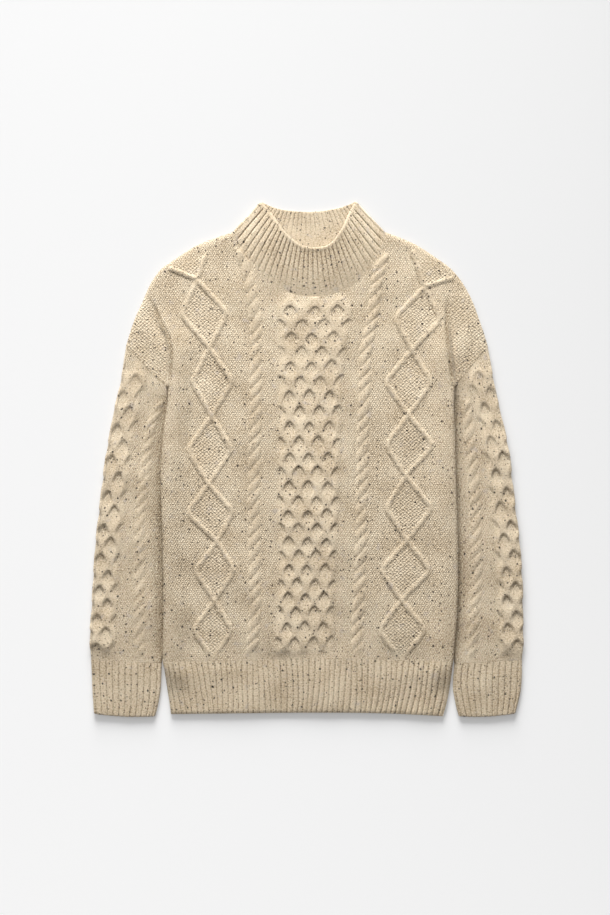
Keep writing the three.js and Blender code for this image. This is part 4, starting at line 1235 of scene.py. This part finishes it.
def wool(name, stitch_depth):
    """A tweed wool whose stitches follow the cloth's own coordinates."""
    material = bpy.data.materials.new(name)
    material.use_nodes = True
    tree = material.node_tree
    tree.nodes.clear()
    cloth = node(tree, "ShaderNodeUVMap", {"uv_map": "cloth"}).outputs[0]
    parts = node(tree, "ShaderNodeSeparateXYZ", links={0: cloth})
    loose = node(tree, "ShaderNodeTexNoise", {"Scale": 240.0, "Detail": 1.0}, {"Vector": cloth})
    sway = node(tree, "ShaderNodeSeparateColor", links={0: loose.outputs["Color"]})
    result = {
        "u": parts.outputs[0], "v": parts.outputs[1],
        "sway_u": sway.outputs[0], "sway_v": sway.outputs[1],
    }
    for mark in ("smooth_knit", "moss", "hollow", "ribs", "shade"):
        result[mark] = node(tree, "ShaderNodeAttribute", {"attribute_name": mark}).outputs["Fac"]
    for made, operation, *inputs in STITCH_STEPS:
        numbers = {i: value for i, value in enumerate(inputs) if not isinstance(value, str)}
        earlier = {i: result[value] for i, value in enumerate(inputs) if isinstance(value, str)}
        settings = {"operation": operation, **numbers}
        result[made] = node(tree, "ShaderNodeMath", settings, earlier).outputs[0]

    stitch = node(tree, "ShaderNodeMix", {"data_type": "FLOAT"},
                  {0: result["smooth_knit"], 2: result["purl"], 3: result["knit"]}).outputs[0]
    stitch = node(tree, "ShaderNodeMix", {"data_type": "FLOAT"},
                  {0: result["moss"], 2: stitch, 3: result["moss_stitch"]}).outputs[0]
    fibre = node(tree, "ShaderNodeTexNoise", {"Scale": 1300.0, "Detail": 3.0, "Roughness": 0.7},
                 {"Vector": cloth}).outputs[0]
    relief = node(tree, "ShaderNodeMath", {"operation": "MULTIPLY_ADD", 1: 0.6},
                  {0: fibre, 2: stitch}).outputs[0]

    # Heathered colour: broad drifts, then short streaks of single plies
    drift = node(tree, "ShaderNodeTexNoise", {"Scale": 28.0, "Detail": 3.0},
                 {"Vector": cloth}).outputs[0]
    ply = node(tree, "ShaderNodeTexNoise", {"Scale": 420.0, "Detail": 3.0, "Roughness": 0.65},
               {"Vector": cloth}).outputs[0]
    drifted = node(tree, "ShaderNodeMath", {"operation": "MULTIPLY_ADD", 1: 0.4, 2: -0.70},
                   {0: drift}).outputs[0]
    tone = node(tree, "ShaderNodeMath", {"operation": "MULTIPLY_ADD", 1: 1.0},
                {0: ply, 2: drifted}).outputs[0]
    tone = node(tree, "ShaderNodeMath", {"operation": "MULTIPLY_ADD", 1: 1.8, 2: 0.5},
                {0: tone}).outputs[0]
    ramp = node(tree, "ShaderNodeValToRGB", links={0: tone})
    stops = ramp.color_ramp.elements
    stops[0].position, stops[0].color = 0.12, linear(SHADE)
    stops[1].position, stops[1].color = 0.85, linear(PALE)
    stops.new(0.48).color = linear(OATMEAL)
    grey = node(tree, "ShaderNodeTexNoise", {"Scale": 75.0, "Detail": 2.0}, {"Vector": cloth}).outputs[0]
    grey_mask = node(tree, "ShaderNodeMapRange", {"From Min": 0.62, "From Max": 0.76, "To Max": 0.55},
                     {"Value": grey}).outputs[0]
    colour = node(tree, "ShaderNodeMix", {"data_type": "RGBA", 7: linear(LILAC)},
                  {0: grey_mask, 6: ramp.outputs[0]}).outputs[2]

    # Less light reaches the gaps between stitches, the grooves and the lattice cells
    recess_shade = node(tree, "ShaderNodeMapRange",
                  {"From Min": 0.0, "From Max": 1.2, "To Min": 0.70, "To Max": 1.10},
                  {"Value": relief}).outputs[0]
    colour = node(tree, "ShaderNodeMix", {"data_type": "RGBA", "blend_type": "MULTIPLY", 0: 1.0},
                  {6: colour, 7: recess_shade}).outputs[2]
    groove = node(tree, "ShaderNodeMapRange", {"From Min": 0.5 - GROOVE_HALF, "From Max": 0.47},
                  {"Value": result["rib_side"]}).outputs[0]
    # Painted shade: the hollow marks, narrowed to the grooves on ribbed cloth, and the shade marks darken
    # the colour, unevenly from ply to ply
    dark = node(tree, "ShaderNodeMath", {"operation": "MULTIPLY_ADD"},
                {0: groove, 1: result["hollow"], 2: result["shade"]}).outputs[0]
    uneven = node(tree, "ShaderNodeMapRange",
                  {"From Min": 0.38, "From Max": 0.62, "To Min": 1.15, "To Max": 0.35},
                  {"Value": ply}).outputs[0]
    dark = node(tree, "ShaderNodeMath", {"operation": "MULTIPLY", "use_clamp": True},
                {0: dark, 1: uneven}).outputs[0]
    colour = node(tree, "ShaderNodeMix", {"data_type": "RGBA", "blend_type": "MULTIPLY", 7: linear(HOLLOW_SHADE)},
                  {0: dark, 6: colour}).outputs[2]

    # Neps: one fleck to a cell, of uneven size, gathered in loose clusters
    bent = node(tree, "ShaderNodeTexNoise", {"Scale": 600.0, "Detail": 2.0}, {"Vector": cloth})
    bend = node(tree, "ShaderNodeVectorMath", {"operation": "MULTIPLY_ADD", 1: (0.0034, 0.0034, 0)},
                {0: bent.outputs["Color"], 2: cloth}).outputs[0]
    crowd = node(tree, "ShaderNodeTexNoise", {"Scale": 24.0, "Detail": 1.0}, {"Vector": cloth}).outputs[0]
    crowding = node(tree, "ShaderNodeMath", {"operation": "MULTIPLY_ADD", 1: 1.5, 2: -0.75},
                    {0: crowd}).outputs[0]
    for cell, radius, share, ink in NEP_LAYERS:
        flecks = node(tree, "ShaderNodeTexVoronoi",
                      {"voronoi_dimensions": "2D", "Scale": 1 / cell, "Randomness": 1.0},
                      {"Vector": bend})
        chance = node(tree, "ShaderNodeSeparateColor", links={0: flecks.outputs["Color"]})
        rare = node(tree, "ShaderNodeMath", {"operation": "ADD"},
                    {0: chance.outputs[0], 1: crowding}).outputs[0]
        size = node(tree, "ShaderNodeMapRange",
                    {"From Min": share, "From Max": share + 0.01, "To Max": radius / cell, "To Min": -0.2},
                    {"Value": rare}).outputs[0]
        kind = node(tree, "ShaderNodeMapRange", {"To Min": 0.45, "To Max": 1.0},
                    {"Value": chance.outputs[1]}).outputs[0]
        size = node(tree, "ShaderNodeMath", {"operation": "MULTIPLY"}, {0: size, 1: kind}).outputs[0]
        edge = node(tree, "ShaderNodeMath", {"operation": "SUBTRACT"},
                    {0: size, 1: flecks.outputs["Distance"]}).outputs[0]
        mask = node(tree, "ShaderNodeMapRange", {"From Min": -0.02, "From Max": 0.05, "To Max": 0.92},
                    {"Value": edge}).outputs[0]
        colour = node(tree, "ShaderNodeMix", {"data_type": "RGBA", 7: linear(ink)},
                      {0: mask, 6: colour}).outputs[2]

    bump = node(tree, "ShaderNodeBump", {"Strength": 0.8, "Distance": stitch_depth},
                {"Height": relief}).outputs[0]
    shader = node(tree, "ShaderNodeBsdfPrincipled", WOOL_FINISH, {"Base Color": colour, "Normal": bump})
    node(tree, "ShaderNodeOutputMaterial", links={"Surface": shader.outputs[0]})
    return material


cable_wool = wool("tweed_wool_cable_knit", CABLE_STITCH_DEPTH)
rib_wool = wool("tweed_wool_rib_knit", RIB_STITCH_DEPTH)
print("wools:", cable_wool.name, "and", rib_wool.name)

# %% [markdown]
# ## Hand the pieces over
# Each piece takes the place of its plain solid, rides with the garment's one body, and
# prints the area of its cloth and its share of the cut.

# %% Put each piece in place of its solid
def flat_area(piece):
    """Half a shell's surface, in square metres: the area of its cloth."""
    return sum(face.area for face in piece.data.polygons) / 2


REGISTER = [
    # piece, node, material, slot, cut width and length in metres, what it lies on
    (front, "front", cable_wool, "cable_knit", (0.507, 0.601), ["back_knit"]),
    (back, "back", cable_wool, "cable_knit", (0.507, 0.601), ["floor"]),
    (hem_front, "hem_front", rib_wool, "rib_knit", (0.406, 0.078), ["hem_back_rib"]),
    (hem_back, "hem_back", rib_wool, "rib_knit", (0.406, 0.078), ["floor"]),
    (collar, "collar", rib_wool, "rib_knit", (0.470, 0.068), ["back_knit", "floor"]),
    (sleeves["left"], "sleeve_left", cable_wool, "cable_knit", (0.215, 0.430), ["floor"]),
    (sleeves["right"], "sleeve_right", cable_wool, "cable_knit", (0.215, 0.430), ["floor"]),
    (cuffs["left"], "cuff_left", rib_wool, "rib_knit", (0.190, 0.075), ["floor"]),
    (cuffs["right"], "cuff_right", rib_wool, "rib_knit", (0.190, 0.075), ["floor"]),
]
for piece, cad_node, material, slot, cut, rests_on in REGISTER:
    piece.data.materials.append(material)
    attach(piece, "root")
    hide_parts(cad_node)
    area = flat_area(piece)
    fill = min(1.0, area / (cut[0] * cut[1]))
    print(piece.name, "cloth", round(area, 4), "m2, share of its cut", round(fill, 3))

# %% [markdown]
# ## Table, light and camera
# A pale seamless surface, one broad soft light from the neck's side so that the cables
# throw small shadows down the body, a weak one at the left and a weak fill all round. So
# near a light would leave the paper bright at the top and dim at the bottom, so the paper
# is graded the other way and glows a little. That suits this camera only.

# %% Floor
# The paper's grey and its glow, at the far and the near end of what the camera sees
PAPER_FAR, PAPER_NEAR = 0.50, 0.78
GLOW_FAR, GLOW_NEAR = 0.06, 0.24
HALF_VIEW = 0.64
FLOOR_SIZE = 8.0
FLOOR_BELOW = 0.0003
paper = bpy.data.materials.new("seamless_paper")
paper.use_nodes = True
paper_nodes = paper.node_tree
paper_nodes.nodes.clear()
spot = node(paper_nodes, "ShaderNodeTexCoord").outputs["Object"]
to_neck = node(paper_nodes, "ShaderNodeSeparateXYZ", links={0: spot}).outputs[1]
across_view = {"From Min": HALF_VIEW, "From Max": -HALF_VIEW}
paper_grey = node(paper_nodes, "ShaderNodeMapRange",
                  {**across_view, "To Min": PAPER_FAR, "To Max": PAPER_NEAR},
                  {"Value": to_neck}).outputs[0]
glow = node(paper_nodes, "ShaderNodeMapRange",
            {**across_view, "To Min": GLOW_FAR, "To Max": GLOW_NEAR},
            {"Value": to_neck}).outputs[0]
paper_shader = node(paper_nodes, "ShaderNodeBsdfPrincipled",
                    {"Roughness": 0.9, "Emission Color": linear("#FFFFFF")},
                    {"Base Color": paper_grey, "Emission Strength": glow})
node(paper_nodes, "ShaderNodeOutputMaterial", links={"Surface": paper_shader.outputs[0]})
bpy.ops.mesh.primitive_plane_add(size=FLOOR_SIZE, location=(0, 0, -FLOOR_BELOW))
floor = bpy.context.object
floor.name = "floor"
floor.data.materials.append(paper)
print("Floor", FLOOR_SIZE, "m wide, graded so that the light looks even across it")

# %% Light
LAMPS = [
    # name, place, aimed at, width in metres, watts
    ("key", (-0.25, 2.9, 1.2), (0, -0.05, 0), 2.1, 224),
    ("left", (-1.6, 0.6, 1.9), (0, 0, 0), 1.8, 12),
]
FILL = 0.25


def area_light(name, place, aim, size, power):
    light = bpy.data.lights.new(name, "AREA")
    light.shape = "DISK"
    light.size = size
    light.energy = power
    lamp = bpy.data.objects.new(name, light)
    bpy.context.collection.objects.link(lamp)
    from_to = np.array(aim, float) - np.array(place, float)
    yaw = math.atan2(from_to[1], from_to[0]) - math.pi / 2
    pitch = math.atan2(math.hypot(from_to[0], from_to[1]), -from_to[2])
    lamp.location = place
    lamp.rotation_euler = (pitch, 0, yaw)
    print(name, "lamp", size, "m wide,", power, "W")


for lamp_row in LAMPS:
    area_light(*lamp_row)
world = bpy.data.worlds.new("studio")
world.use_nodes = True
world.node_tree.nodes["Background"].inputs["Color"].default_value = linear("#FFFFFF")
world.node_tree.nodes["Background"].inputs["Strength"].default_value = FILL
bpy.context.scene.world = world
bpy.context.scene.view_settings.view_transform = "Standard"

# %% Camera
PIXEL = 0.0014
FRAME_LONG = 915
LENS = 85.0
SENSOR = 36.0
CLOTH_TOP = 0.007
# The photograph's middle, in its pixels from the garment's middle
PHOTO_MIDDLE = (-1.5, 1.75)
camera_data = bpy.data.cameras.new("camera")
camera_data.lens = LENS
camera_data.sensor_width = SENSOR
camera_data.clip_end = 30
camera = bpy.data.objects.new("camera", camera_data)
bpy.context.collection.objects.link(camera)
height = FRAME_LONG * PIXEL * LENS / SENSOR
camera.location = (PHOTO_MIDDLE[0] * PIXEL, PHOTO_MIDDLE[1] * PIXEL, height + CLOTH_TOP)
camera.rotation_euler = (0, 0, 0)
bpy.context.scene.camera = camera
print("camera height", round(height, 3), "m")
